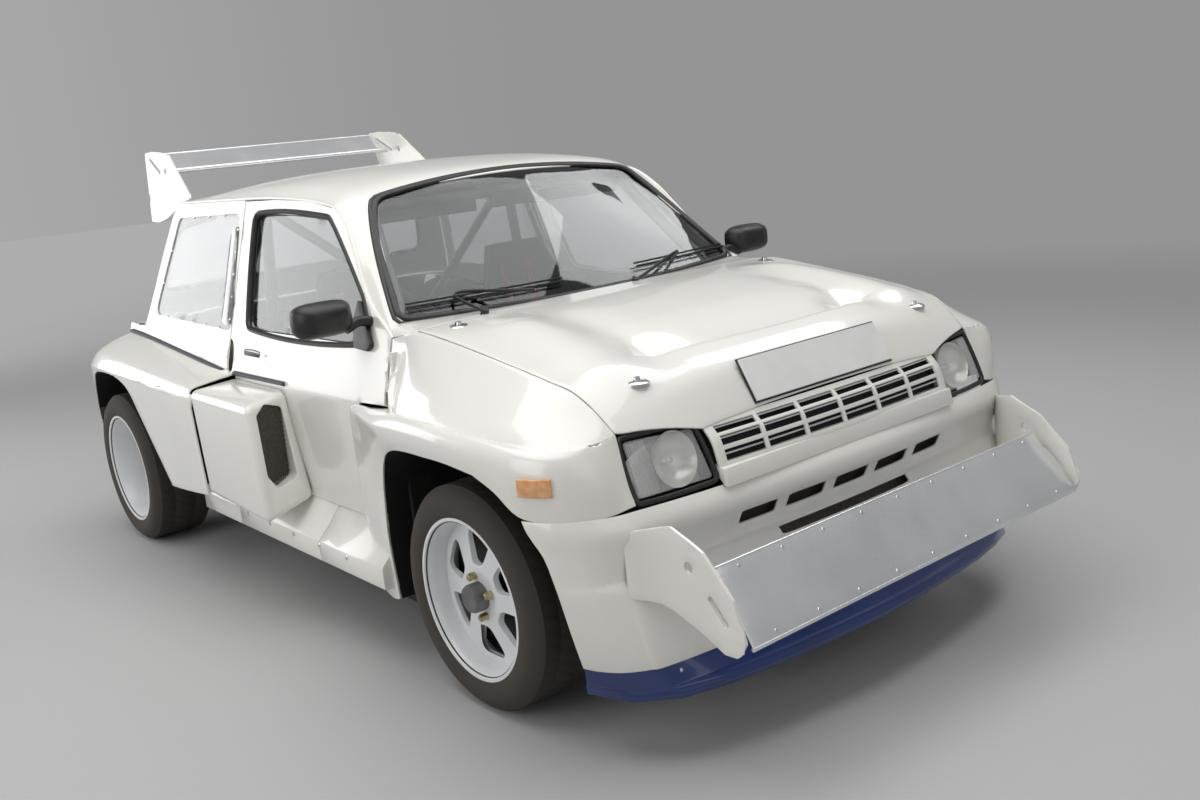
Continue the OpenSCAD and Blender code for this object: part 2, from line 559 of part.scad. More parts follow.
// Half of a hinge that sits on the pin, reaching back to the door's edge
module door_leaf(z) {
    translate([hinge_axis[0], hinge_axis[1], z + 0.5]) cylinder(h = hinge_h - 6, r = hinge_r, $fn = 32);
    block([door_front - 40, hinge_axis[1] - 20, z + 4], [hinge_axis[0], hinge_axis[1] - 1, z + hinge_h - 10]);
}
module door_glass(s) color(clear) side(s) intersection() {
    cabin_layer(8, 8 + glass_t);
    along_y(rail_y - 120, far) polygon(door_window);
}
box_out = rear_y - 10;
module air_box(s) color(white) side(s) difference() {
    intersection() {
        along_y(door_y + seat_fit, box_out) polygon([[rx + 965, 746], [rx + 939, 372], [fx - 938, 372],
            [fx - 957, 730], [fx - 1047, 746]]);
        along_z(-far, far) polygon([[rx + 900, door_y + seat_fit], [rx + 900, box_out], [fx - 938, box_out], [fx - 1047, door_y + seat_fit]]);
        along_x(-far, far) polygon([[door_y + seat_fit, door_base_z + 2], [door_y + seat_fit, 746], [box_out - 60, 736], [box_out - 12, 722],
            [box_out, 700], [box_out, 360]]);
    }
    // duct from the mesh in front to the open back
    intersection() {
        along_x(-far, far) polygon([[door_y + 40, 462], [door_y + 40, 690], [box_out - 30, 690], [box_out - 30, 440], [door_y + 60, 440]]);
        block([rx + 900, 0, 0], [fx - 900, far, far]);
    }
}
mirror_at = [fx - 505, door_y + 80, belt_z + 103];
module door_mirror(s) color(dark) side(s) {
    difference() {
        union() {
            // housing on an arm
            block(mirror_at - [60, 100, 54], mirror_at + [30, 100, 54]);
            bar([mirror_at[0] + 5, mirror_at[1] - 70, mirror_at[2] - 40], [fx - 500, waist_y - 22, belt_z + 50], 14);
            // foot on the window frame's front corner
            intersection() {
                cabin_solid(-12);
                along_y(0, far) polygon([[fx - 545, belt_z + 85], [fx - 475, belt_z + 10], [fx - 545, belt_z + 10]]);
            }
        }
        cabin_solid(-seat_fit);
        block(mirror_at - [61, 90, 44], mirror_at + [-54, 90, 44]);
    }
}

// ---------------------------------------------------------------- cabin fittings
module bucket_seats() color(dark) both() {
    difference() {
        union() {
            translate([fx - 1240, driver_y - 235, floor_z]) cube([500, 470, 320]);
            along_y(driver_y - 235, driver_y + 235) polygon([[fx - 1240, floor_z], [fx - 1430, 800], [fx - 1310, 820], [fx - 1100, 480]]);
            along_y(driver_y - 150, driver_y + 150) polygon([[fx - 1432, 790], [fx - 1478, 1030], [fx - 1390, 1040], [fx - 1310, 800]]);
        }
        along_y(driver_y - 175, driver_y + 175) polygon([[fx - 700, 340], [fx - 1190, 330], [fx - 1385, 830], [fx - 1390, 1100],
            [fx - 1100, 1100], [fx - 700, 620]]);
        translate([fx - 1260, driver_y - 180, -1]) cube([540, 360, floor_z + 60]);
    }
}
column_top = [fx - 700, -driver_y, 850];
column_end = [bulkhead_x + 5, -driver_y, 620];
column_r = 30;
column_dir = (column_end - column_top) / norm(column_end - column_top);
module dashboard() color(dark) {
    difference() {
        union() {
            along_y(-door_y + 172, door_y - 172) polygon([[fx - 640, 700], [fx - 610, 905], [fx - 540, 925],
                [post_x - seat_fit, 895], [post_x - seat_fit, 700]]);
            bar(column_top + 40 * column_dir, column_end + 40 * column_dir, column_r);
        }
        bar(column_top - 10 * column_dir, column_top + 250 * column_dir, 14 + seat_fit);
    }
}
module steering_wheel() color(dark) {
    tilt = acos(column_dir[2]);
    translate(column_top) rotate([0, tilt, atan2(column_dir[1], column_dir[0])]) {
        rotate_extrude($fn = 96) translate([steering_wheel_r, 0]) circle(r = 15, $fn = 24);
        for (a = [90, 210, 330]) rotate([0, 0, a]) translate([30, -14, -4]) cube([steering_wheel_r - 38, 28, 8]);
        translate([0, 0, -10]) cylinder(h = 30, r = 40, $fn = 48);
        cylinder(h = 240, r = 14, $fn = 48);
    }
}
cage_r = 20;
cage_x = rx + 865;                    // main hoop
cage_top = [door_y - 240, roof_height - 108];
module roll_cage() color([0.85, 0.84, 0.78]) difference() {
    cage_tubes();
    block([-far, -far, -far], [far, far, floor_z]);
    both() block([-far, 0, 0], [rear_bulkhead_x, rear_rail_out + 40, 560]);
}
module cage_tubes() {
    foot = [cage_x, door_y - 140, floor_z];
    top = [cage_x, cage_top[0], cage_top[1]];
    front_top = [fx - 812, cage_top[0] - 20, roof_height - 122];
    front_foot = [bulkhead_x - 30, door_y - 145, floor_z];
    knee = [fx - 480, door_y - 145, 915];
    stay = [rx - 20, rear_rail_out - 15, 560];
    bar([top[0], -top[1], top[2]], top, cage_r);
    bar([front_top[0], -front_top[1], front_top[2]], front_top, cage_r);
    bar([cage_x, -foot[1] + 20, 640], [cage_x, foot[1] - 20, 640], cage_r);
    bar([top[0], -top[1], top[2]], [cage_x, foot[1] - 10, 420], cage_r - 2);
    both() {
        bar(foot, top, cage_r);
        bar(top, front_top, cage_r);
        bar(front_top, knee, cage_r);
        bar(knee, front_foot, cage_r);
        bar(top, stay, cage_r - 2);
        for (p = [top, front_top, knee]) translate(p) sphere(r = cage_r + 3, $fn = 32);
    }
}
module engine() color(bare) {
    block([rx - 160, -250, floor_z], [rear_bulkhead_x - 60, 250, 800]);
    both() bar([rx - 150, 170, 400], [tail_x + 6, 170, 400], 45);
}
module wipers() color(dark) {
    for (p = [[-430, -60], [130, 500]]) {
        at = [fx - 330, p[0], screen_base[1] + seat_fit];
        translate(at) cylinder(h = 24, r = 12, $fn = 32);
        bar(at + [0, 0, 18], [fx - 400, p[0] + 250, screen_base[1] + 62], 6);
        bar([fx - 378, p[0] - 20, screen_base[1] + 42], [fx - 420, p[1] + 60, screen_base[1] + 78], 8);
    }
}

// ---------------------------------------------------------------- running gear
arm_low = 185;
arm_high = 415;
eye_r = 26;
eye_h = 22;
module arm(y_in, x, z) {
    bar([x + 90, y_in, z + eye_h / 2], [x + 14, kingpin_y - 14, z + eye_h / 2], 10);
    bar([x - 90, y_in, z + eye_h / 2], [x - 14, kingpin_y - 14, z + eye_h / 2], 10);
}
module front_suspension() color(dark) both() difference() {
    union() {
        for (z = [arm_low, arm_high]) {
            arm(rail_out - 2 + 2 * seat_fit + 2, fx, z);
            translate([fx, kingpin_y, z]) cylinder(h = eye_h, r = eye_r, $fn = 48);
        }
    }
    for (z = [arm_low, arm_high]) translate([fx, kingpin_y, z - 1]) cylinder(h = eye_h + 2, r = kingpin_r + running_fit, $fn = 48);
    block([0, 0, 0], [far, rail_out, far]);
}
module stub(x, y0, y_hub, y1) {
    translate([x, y0, axle_z]) rotate([-90, 0, 0]) cylinder(h = y1 - y0, r = stub_r, $fn = 64);
    translate([x, y_hub - 20 - seat_fit, axle_z]) rotate([-90, 0, 0]) cylinder(h = 20, r = 2 * stub_r, $fn = 64);
}
module knuckle(s) color(dark) side(s) {
    translate([fx, kingpin_y, arm_low + eye_h + seat_fit]) cylinder(h = arm_high - arm_low - eye_h - 2 * seat_fit, r = 22, $fn = 48);
    translate([fx, kingpin_y, arm_low + 1]) cylinder(h = arm_high - arm_low + eye_h - 2, r = kingpin_r, $fn = 48);
    stub(fx, kingpin_y, front_hub_y - hub_w, front_hub_y + 6);
}
hub_w = 40;
module rear_suspension() color(dark) both() {
    difference() {
        union() {
            for (z = [arm_low, arm_high]) arm(rear_rail_out, rx, z);
            block([rx - 40, kingpin_y - 25, arm_low - 5], [rx + 40, kingpin_y + 15, arm_high + 30]);
            bar([rx + 60, rear_rail_out - 20, 545], [rx + 20, kingpin_y - 15, arm_high + 15], 22);
        }
        block([-far, 0, 0], [0, rear_rail_out, far]);
    }
    stub(rx, kingpin_y, rear_hub_y - hub_w, rear_hub_y + 6);
}
// A wheel whose outer face is at y, with its hub set back by the dish
module wheel(x, y, w, dish) color([0.93, 0.93, 0.91]) translate([x, y, axle_z]) rotate([90, 0, 0]) difference() {
    union() {
        rotate_extrude($fn = 96) polygon([[rim_r, 0], [rim_r, 7], [rim_r - 14, 12], [rim_r - 14, 36], [rim_r - 36, 52],
            [rim_r - 36, w - 46], [rim_r - 14, w - 34], [rim_r - 14, w - 12], [rim_r, w - 7], [rim_r, w],
            [rim_r - 7, w], [rim_r - 22, w - 8], [rim_r - 22, w - 30], [rim_r - 44, w - 44], [rim_r - 44, 56],
            [rim_r - 22, 38], [rim_r - 22, 8], [rim_r - 7, 0]]);
        rotate_extrude($fn = 96) polygon([[stub_r, dish + 2], [60, dish + 2], [75, dish + 14], [rim_r - 40, dish - 4],
            [rim_r - 40, dish + 10], [75, dish + 26], [64, dish + hub_w], [stub_r, dish + hub_w]]);
    }
    for (i = [0 : wheel_windows - 1]) rotate([0, 0, i * 360 / wheel_windows])
        translate([rim_r * 0.58, 0, dish - 20]) cylinder(h = 60, r = 27, $fn = 32);
    translate([0, 0, -50]) cylinder(h = 400, r = stub_r + running_fit, $fn = 64);
}
module tyre(x, y, w) color([0.10, 0.09, 0.08]) translate([x, y, axle_z]) rotate([90, 0, 0])
    rotate_extrude($fn = 120) polygon([[rim_r - 14 + seat_fit, 12 + seat_fit], [rim_r + 1, 12 + seat_fit],
        [rim_r + 20, -6], [rim_r + 50, -9], [tyre_r - 14, 4], [tyre_r, 26], [tyre_r, w - 26], [tyre_r - 14, w - 4],
        [rim_r + 50, w + 9], [rim_r + 20, w + 6], [rim_r + 1, w - 12 - seat_fit],
        [rim_r - 14 + seat_fit, w - 12 - seat_fit], [rim_r - 14 + seat_fit, w - 32], [rim_r + 14, w - 22],
        [tyre_r - 18, w - 24], [tyre_r - 12, w - 36], [tyre_r - 12, 36], [tyre_r - 18, 24], [rim_r + 14, 22],
        [rim_r - 14 + seat_fit, 32]]);

floor_tub();
cabin_shell();
front_wings();
sills();
rear_quarters();
rear_panel();
front_bumper();
grille();
headlamps();
tail_lamps();
front_spoiler();
spoiler_endplates();
splitter();
windscreen();
quarter_windows();
wipers();
bucket_seats();
dashboard();
roll_cage();
engine();
front_suspension();
rear_suspension();
bonnet();
tailgate();
tailgate_window();
rear_wing();
wing_endplates();
door(1);  // door_left
door(-1);  // door_right
door_glass(1);  // door_glass_left
door_glass(-1);  // door_glass_right
air_box(1);  // air_box_left
air_box(-1);  // air_box_right
door_mirror(1);  // door_mirror_left
door_mirror(-1);  // door_mirror_right
knuckle(1);  // knuckle_left
knuckle(-1);  // knuckle_right
wheel(fx, front_rim_y, front_rim_w, front_dish);  // wheel_front_left
mirror([0, 1, 0]) wheel(fx, front_rim_y, front_rim_w, front_dish);  // wheel_front_right
wheel(rx, rear_rim_y, rear_rim_w, rear_dish);  // wheel_rear_left
mirror([0, 1, 0]) wheel(rx, rear_rim_y, rear_rim_w, rear_dish);  // wheel_rear_right
tyre(fx, front_rim_y, front_rim_w);  // tyre_front_left
mirror([0, 1, 0]) tyre(fx, front_rim_y, front_rim_w);  // tyre_front_right
tyre(rx, rear_rim_y, rear_rim_w);  // tyre_rear_left
mirror([0, 1, 0]) tyre(rx, rear_rim_y, rear_rim_w);  // tyre_rear_right
steering_wheel();
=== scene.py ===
"""Looks of a wide-arched rally hatchback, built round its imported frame.

Shapes are written in millimetres in the car's own frame (+X forward, +Y to the car's left,
+Z up, origin on the ground) and become metres when a mesh is made.
"""
import json
import logging
import math
from dataclasses import dataclass, field
from enum import Enum
from typing import Callable, Iterable, Optional, Sequence

import bmesh
import bpy
import numpy as np
from mathutils import Matrix, Vector
from mathutils.geometry import delaunay_2d_cdt

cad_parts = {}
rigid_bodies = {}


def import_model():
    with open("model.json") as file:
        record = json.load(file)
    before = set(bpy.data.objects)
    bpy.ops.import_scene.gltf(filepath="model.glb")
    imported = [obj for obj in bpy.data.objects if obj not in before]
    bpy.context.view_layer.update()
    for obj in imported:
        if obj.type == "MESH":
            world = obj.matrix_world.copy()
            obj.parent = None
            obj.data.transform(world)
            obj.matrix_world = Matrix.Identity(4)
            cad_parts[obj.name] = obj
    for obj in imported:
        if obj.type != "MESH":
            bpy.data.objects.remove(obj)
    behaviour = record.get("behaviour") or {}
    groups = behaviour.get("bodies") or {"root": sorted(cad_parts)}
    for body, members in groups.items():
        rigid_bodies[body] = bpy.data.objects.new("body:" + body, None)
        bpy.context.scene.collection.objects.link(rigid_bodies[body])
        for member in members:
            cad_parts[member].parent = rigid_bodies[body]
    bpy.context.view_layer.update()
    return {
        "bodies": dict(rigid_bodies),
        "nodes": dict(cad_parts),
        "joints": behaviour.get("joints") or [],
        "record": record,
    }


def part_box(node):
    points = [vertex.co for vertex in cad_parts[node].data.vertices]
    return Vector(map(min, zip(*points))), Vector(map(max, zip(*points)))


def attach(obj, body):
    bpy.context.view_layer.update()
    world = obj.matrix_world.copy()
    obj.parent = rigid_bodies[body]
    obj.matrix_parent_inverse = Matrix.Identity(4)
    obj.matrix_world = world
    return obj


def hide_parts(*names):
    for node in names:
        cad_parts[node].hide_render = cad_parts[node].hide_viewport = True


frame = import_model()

MM = 0.001
LOG = logging.getLogger("rally_car")

Grid = np.ndarray
Outline = list[tuple[float, float]]


class Side(Enum):
    """Which side of the car a piece is on; the value is the sign of its y."""

    LEFT = 1
    RIGHT = -1

    @property
    def word(self) -> str:
        """The side as the frame's names spell it."""
        return self.name.lower()


# ---------------------------------------------------------------- finishes
@dataclass(frozen=True)
class Finish:
    """One surface finish made from noise-varied colour, roughness and bump.

    Attributes:
        name: Material name.
        color: Linear base colour.
        second: Colour that the grain mixes in.
        rough: Roughness.
        metal: Metallic share.
        coat: Weight of a clear coat.
        grain: Noise scale of the colour variation, per metre.
        bump: Strength of the relief.
        bump_scale: Noise scale of the relief, per metre.
        stretch: Scale of the relief along each axis.
        sheen: Sheen weight, for cloth.
    """

    name: str
    color: tuple[float, float, float]
    second: tuple[float, float, float]
    rough: float = 0.4
    metal: float = 0.0
    coat: float = 0.0
    grain: float = 6.0
    bump: float = 0.05
    bump_scale: float = 400.0
    stretch: tuple[float, float, float] = (1.0, 1.0, 1.0)
    sheen: float = 0.0
    transmission: float = 0.0
    alpha: float = 1.0
    relief: str = "noise"

    def material(self) -> bpy.types.Material:
        """Make the material, or return the one already made.

        Returns:
            The node material.
        """
        known = bpy.data.materials.get(self.name)
        if known:
            return known
        made = bpy.data.materials.new(self.name)
        made.use_nodes = True
        tree = made.node_tree
        shader = tree.nodes["Principled BSDF"]
        shader.inputs["Roughness"].default_value = self.rough
        shader.inputs["Metallic"].default_value = self.metal
        shader.inputs["Coat Weight"].default_value = self.coat
        shader.inputs["Coat Roughness"].default_value = 0.04
        shader.inputs["Sheen Weight"].default_value = self.sheen
        shader.inputs["Transmission Weight"].default_value = self.transmission
        shader.inputs["Alpha"].default_value = self.alpha
        place = tree.nodes.new("ShaderNodeTexCoord")
        tone = tree.nodes.new("ShaderNodeTexNoise")
        tone.inputs["Scale"].default_value = self.grain
        tone.inputs["Detail"].default_value = 6.0
        tree.links.new(place.outputs["Object"], tone.inputs["Vector"])
        ramp = tree.nodes.new("ShaderNodeValToRGB")
        ramp.color_ramp.elements[0].position = 0.35
        ramp.color_ramp.elements[1].position = 0.7
        ramp.color_ramp.elements[0].color = (*self.color, 1.0)
        ramp.color_ramp.elements[1].color = (*self.second, 1.0)
        tree.links.new(tone.outputs["Fac"], ramp.inputs["Fac"])
        tree.links.new(ramp.outputs["Color"], shader.inputs["Base Color"])
        self._relief(tree, place, shader)
        return made

    def _relief(self, tree: bpy.types.NodeTree, place: bpy.types.Node, shader: bpy.types.Node) -> None:
        """Add the fine relief as bump.

        Args:
            tree: The material's nodes.
            place: Texture coordinates.
            shader: The shader that takes the bumped normal.
        """
        if self.bump <= 0:
            return
        scale = tree.nodes.new("ShaderNodeMapping")
        scale.inputs["Scale"].default_value = self.stretch
        tree.links.new(place.outputs["Object"], scale.inputs["Vector"])
        bump = tree.nodes.new("ShaderNodeBump")
        bump.inputs["Strength"].default_value = self.bump
        bump.inputs["Distance"].default_value = 0.001
        if self.relief == "weave":
            first, second = (tree.nodes.new("ShaderNodeTexWave") for _ in range(2))
            for wave, way in ((first, "X"), (second, "Z")):
                wave.bands_direction = way
                wave.inputs["Scale"].default_value = self.bump_scale
                tree.links.new(scale.outputs["Vector"], wave.inputs["Vector"])
            both = tree.nodes.new("ShaderNodeMath")
            both.operation = "MULTIPLY"
            tree.links.new(first.outputs["Fac"], both.inputs[0])
            tree.links.new(second.outputs["Fac"], both.inputs[1])
            tree.links.new(both.outputs["Value"], bump.inputs["Height"])
        else:
            noise = tree.nodes.new("ShaderNodeTexNoise")
            noise.inputs["Scale"].default_value = self.bump_scale
            noise.inputs["Detail"].default_value = 3.0
            tree.links.new(scale.outputs["Vector"], noise.inputs["Vector"])
            tree.links.new(noise.outputs["Fac"], bump.inputs["Height"])
        tree.links.new(bump.outputs["Normal"], shader.inputs["Normal"])


PAINT = Finish("ivory_paint", (0.82, 0.81, 0.755), (0.84, 0.83, 0.78), rough=0.28, coat=0.8, grain=3.0,
               bump=0.02, bump_scale=900.0)
# Near-black inner faces of the roof and pillars: painted shade inside the cabin.
INNER_SHADE = Finish("inner_panel_paint", (0.035, 0.034, 0.031), (0.06, 0.057, 0.052), rough=0.6, grain=9.0)
# Near-black floor tub: the underbody's dark paint together with painted shadow beneath the car.
SHADOW_BLACK = Finish("underbody_paint", (0.012, 0.012, 0.012), (0.03, 0.028, 0.025), rough=0.75, grain=14.0,
                      bump=0.3, bump_scale=160.0)
RUBBER = Finish("seal_rubber", (0.010, 0.010, 0.011), (0.02, 0.02, 0.02), rough=0.38, grain=30.0, bump=0.1)
GREY_RUBBER = Finish("strip_rubber", (0.045, 0.05, 0.06), (0.07, 0.075, 0.085), rough=0.5, grain=40.0,
                     bump=0.15)
BLACK_PLASTIC = Finish("moulded_plastic", (0.009, 0.009, 0.010), (0.016, 0.016, 0.017), rough=0.35,
                       grain=60.0,
                       bump=0.25, bump_scale=1400.0)
TYRE_RUBBER = Finish("tyre_rubber", (0.012, 0.010, 0.008), (0.028, 0.023, 0.018), rough=0.72, grain=18.0,
                     bump=0.35, bump_scale=300.0)
WHEEL_PAINT = Finish("wheel_paint", (0.80, 0.81, 0.82), (0.74, 0.75, 0.76), rough=0.32, coat=0.4, grain=10.0,
                     bump=0.08, bump_scale=500.0)
ALLOY = Finish("brushed_sheet", (0.78, 0.79, 0.81), (0.90, 0.91, 0.93), rough=0.26, metal=0.8, grain=4.0,
               bump=0.25, bump_scale=220.0, stretch=(1.0, 0.03, 6.0))
CHROME = Finish("bright_steel", (0.75, 0.75, 0.76), (0.85, 0.85, 0.86), rough=0.12, metal=1.0, grain=50.0,
                bump=0.03)
BRASS = Finish("plated_nuts", (0.42, 0.36, 0.20), (0.60, 0.54, 0.34), rough=0.3, metal=1.0, grain=60.0,
               bump=0.1)
DARK_METAL = Finish("suspension_metal", (0.03, 0.03, 0.032), (0.07, 0.065, 0.06), rough=0.5, metal=0.6,
                    grain=20.0,
                    bump=0.3, bump_scale=200.0)
CAST = Finish("cast_engine_metal", (0.16, 0.16, 0.165), (0.26, 0.26, 0.27), rough=0.55, metal=0.8, grain=12.0,
              bump=0.5, bump_scale=260.0)
SPLITTER_BLUE = Finish("blue_moulding", (0.006, 0.022, 0.12), (0.010, 0.032, 0.16), rough=0.22, coat=0.6,
                       grain=5.0,
                       bump=0.05)
GRILLE_MESH = Finish("brown_mesh", (0.075, 0.066, 0.050), (0.12, 0.105, 0.08), rough=0.5, grain=80.0,
                     metal=0.3)
CAGE_PAINT = Finish("cage_paint", (0.22, 0.205, 0.17), (0.29, 0.27, 0.22), rough=0.35, coat=0.3, grain=8.0,
                    bump=0.05)
SEAT_CLOTH = Finish("seat_cloth", (0.012, 0.012, 0.014), (0.028, 0.028, 0.032), rough=0.9, grain=40.0,
                    bump=0.6,
                    bump_scale=160.0, sheen=0.3, relief="weave")
RED_CLOTH = Finish("harness_red", (0.42, 0.012, 0.012), (0.55, 0.03, 0.025), rough=0.85, grain=40.0, bump=0.6,
                   bump_scale=260.0, sheen=0.3, relief="weave")
FLOCK = Finish("dash_flock", (0.010, 0.010, 0.010), (0.022, 0.021, 0.020), rough=0.95, grain=50.0, bump=0.5,
               bump_scale=800.0, sheen=0.4)
RIM_LEATHER = Finish("rim_leather", (0.012, 0.011, 0.010), (0.03, 0.027, 0.024), rough=0.55, grain=60.0,
                     bump=0.5,
                     bump_scale=700.0)
GLASS = Finish("screen_glass", (0.56, 0.60, 0.60), (0.60, 0.64, 0.64), rough=0.02, grain=2.0, bump=0.0,
               transmission=1.0)
PERSPEX = Finish("bolted_pane", (0.88, 0.90, 0.91), (0.94, 0.95, 0.96), rough=0.05, grain=7.0, bump=0.02,
                 bump_scale=40.0, transmission=0.9)
LENS = Finish("lamp_lens", (0.80, 0.82, 0.82), (0.90, 0.90, 0.89), rough=0.05, coat=0.8, grain=30.0,
              bump=0.25,
              bump_scale=60.0, alpha=0.20)
REFLECTOR = Finish("lamp_reflector", (0.66, 0.66, 0.62), (0.82, 0.82, 0.78), rough=0.24, metal=0.45,
                   grain=20.0,
                   bump=0.1, bump_scale=60.0)
AMBER = Finish("amber_lens", (0.75, 0.33, 0.10), (0.80, 0.50, 0.30), rough=0.2, coat=0.6, grain=60.0,
               bump=0.1)
RED_LENS = Finish("red_lens", (0.35, 0.008, 0.008), (0.45, 0.015, 0.012), rough=0.15, coat=0.8, grain=30.0,
                  bump=0.4, bump_scale=60.0, stretch=(1.0, 1.0, 8.0))
PLATE_WHITE = Finish("plate_white", (0.80, 0.80, 0.78), (0.85, 0.85, 0.84), rough=0.3, coat=0.3, grain=12.0)
# Near-black painted shade: sheets behind the grille, in the air boxes and under the bonnet vent stand where
# there is only shade; in the arches it is also the linings' own dark colour.
SHADE_BLACK = Finish("dark_inside", (0.004, 0.004, 0.004), (0.008, 0.008, 0.007), rough=0.9, grain=20.0,
                    bump=0.2)


# ---------------------------------------------------------------- curves and surfaces
def hermite(knots: Grid, values: Grid, at: Grid) -> Grid:
    """Run a smooth curve through values at knots.

    Args:
        knots: Increasing parameters, (K,).
        values: Values at the knots, (K, ...).
        at: Parameters to evaluate, (N,).

    Returns:
        Values at the parameters, (N, ...).
    """
    gap = np.diff(knots)
    rise = np.diff(values, axis=0) / gap.reshape((-1,) + (1,) * (values.ndim - 1))
    slope = np.empty_like(values)
    slope[0], slope[-1] = rise[0], rise[-1]
    if len(knots) > 2:
        before, after = (g.reshape((-1,) + (1,) * (values.ndim - 1)) for g in (gap[:-1], gap[1:]))
        slope[1:-1] = (rise[:-1] * after + rise[1:] * before) / (before + after)
    i = np.clip(np.searchsorted(knots, at, side="right") - 1, 0, len(knots) - 2)
    t = ((at - knots[i]) / gap[i]).reshape((-1,) + (1,) * (values.ndim - 1))
    width = gap[i].reshape(t.shape)
    return ((2 * t**3 - 3 * t**2 + 1) * values[i] + (t**3 - 2 * t**2 + t) * width * slope[i]
            + (-2 * t**3 + 3 * t**2) * values[i + 1] + (t**3 - t**2) * width * slope[i + 1])


def smooth_path(points: Sequence[Sequence[float]], step: float, closed: bool = False) -> Grid:
    """Resample a path through points at an even step.

    Args:
        points: The points it passes, (K, 2 or 3).
        step: Distance between samples.
        closed: Whether it returns to its start.

    Returns:
        The samples.
    """
    p = np.asarray(points, float)
    if closed:
        p = np.concatenate([p[-2:], p, p[:3]])
    knots = np.concatenate([[0], np.cumsum(np.maximum(np.linalg.norm(np.diff(p, axis=0), axis=1), 1e-6))])
    first, last = (knots[2], knots[-3]) if closed else (0.0, knots[-1])
    count = max(2, int(round((last - first) / step)))
    return hermite(knots, p, np.linspace(first, last, count + 1)[: count if closed else None])


def straight_path(points: Sequence[Sequence[float]], step: float, closed: bool = True) -> Grid:
    """Resample a polyline, keeping its corners.

    Args:
        points: The corners.
        step: Longest distance between samples.
        closed: Whether it returns to its start.

    Returns:
        The samples.
    """
    p = np.asarray(points, float)
    ends = np.concatenate([p[1:], p[:1]]) if closed else p[1:]
    out = []
    for a, b in zip(p, ends):
        n = max(1, int(math.ceil(np.linalg.norm(b - a) / step)))
        out.append(a + (b - a) * np.linspace(0, 1, n, endpoint=False)[:, None])
    if not closed:
        out.append(p[-1:])
    return np.concatenate(out)


def rounded(points: Sequence[Sequence[float]], radius: float | Sequence[float], arc: int = 6) -> Outline:
    """Round the corners of a closed outline.

    Args:
        points: Its corners.
        radius: One radius, or one for each corner.
        arc: Steps in each corner.

    Returns:
        The rounded outline.
    """
    p = np.asarray(points, float)
    radii = [radius] * len(p) if np.isscalar(radius) else list(radius)
    out: Outline = []
    for i, corner in enumerate(p):
        a, b = p[i - 1] - corner, p[(i + 1) % len(p)] - corner
        la, lb = np.linalg.norm(a), np.linalg.norm(b)
        a, b = a / la, b / lb
        angle = math.acos(float(np.clip(a @ b, -1, 1)))
        reach = min(radii[i] / max(math.tan(angle / 2), 1e-3), 0.49 * la, 0.49 * lb)
        start, end = corner + a * reach, corner + b * reach
        for t in np.linspace(0, 1, arc + 1):
            q = (1 - t) ** 2 * start + 2 * t * (1 - t) * corner + t**2 * end
            out.append((float(q[0]), float(q[1])))
    return out


@dataclass
class Patch:
    """A smooth surface through a grid of points: rows of equal length, each [x, y, z]."""

    rows: Sequence[Sequence[Sequence[float]]]

    def __post_init__(self) -> None:
        """Store the grid as an array."""
        self.grid = np.asarray(self.rows, float)

    def at(self, u: Grid, v: Grid) -> Grid:
        """Points at row parameter u and column parameter v, each counted in steps of the grid.

        Args:
            u: Row parameter of each point.
            v: Column parameter of each point, as many as u.

        Returns:
            The points, (count, 3).
        """
        m, n = self.grid.shape[:2]
        across = hermite(np.arange(m, dtype=float), self.grid, np.clip(u, 0, m - 1))
        return hermite_rows(across, np.clip(v, 0, n - 1))

    def even(self, steps: int) -> Grid:
        """A grid with the same number of steps between each pair of rows and columns.

        Args:
            steps: Steps between neighbouring rows, and between neighbouring columns.

        Returns:
            The grid of points, (rows, columns, 3).
        """
        m, n = self.grid.shape[:2]
        u, v = np.linspace(0, m - 1, (m - 1) * steps + 1), np.linspace(0, n - 1, (n - 1) * steps + 1)
        gu, gv = np.meshgrid(u, v, indexing="ij")
        return self.at(gu.ravel(), gv.ravel()).reshape(len(u), len(v), 3)

    def sampled(self, across: int, along: int) -> Grid:
        """An even grid of points, (across + 1, along + 1, 3), with rows spread by length.

        Args:
            across: Steps from the first row to the last.
            along: Steps along each row.

        Returns:
            The grid of points.
        """
        m, n = self.grid.shape[:2]
        fine_u = hermite(np.arange(m, dtype=float), self.grid, np.linspace(0, m - 1, 12 * m))
        length = np.concatenate([[0], np.cumsum(np.linalg.norm(np.diff(fine_u, axis=0),
                                                               axis=2).mean(axis=1))])
        even = np.interp(np.linspace(0, length[-1], across + 1), length, np.linspace(0, m - 1, 12 * m))
        rows = hermite(np.arange(m, dtype=float), self.grid, even)
        fine = hermite(np.arange(n, dtype=float), np.swapaxes(rows, 0, 1), np.linspace(0, n - 1, 12 * n))
        length = np.concatenate([[0], np.cumsum(np.linalg.norm(np.diff(fine, axis=0), axis=2).mean(axis=1))])
        even = np.interp(np.linspace(0, length[-1], along + 1), length, np.linspace(0, n - 1, 12 * n))
        cols = hermite(np.arange(n, dtype=float), np.swapaxes(rows, 0, 1), even)
        return np.swapaxes(cols, 0, 1)


def hermite_rows(rows: Grid, at: Grid) -> Grid:
    """Evaluate a different curve for each sample: rows is (N, K, 3) and at is (N,).

    Args:
        rows: One row of points for each sample.
        at: Place along its own row for each sample, counted in points.

    Returns:
        One point for each sample, (N, 3).
    """
    n, k = rows.shape[:2]
    slope = np.empty_like(rows)
    slope[:, 0], slope[:, -1] = rows[:, 1] - rows[:, 0], rows[:, -1] - rows[:, -2]
    slope[:, 1:-1] = (rows[:, 2:] - rows[:, :-2]) / 2
    i = np.clip(at.astype(int), 0, k - 2)
    t = (at - i)[:, None]
    pick = np.arange(n)
    return ((2 * t**3 - 3 * t**2 + 1) * rows[pick, i] + (t**3 - 2 * t**2 + t) * slope[pick, i]
            + (-2 * t**3 + 3 * t**2) * rows[pick, i + 1] + (t**3 - t**2) * slope[pick, i + 1])


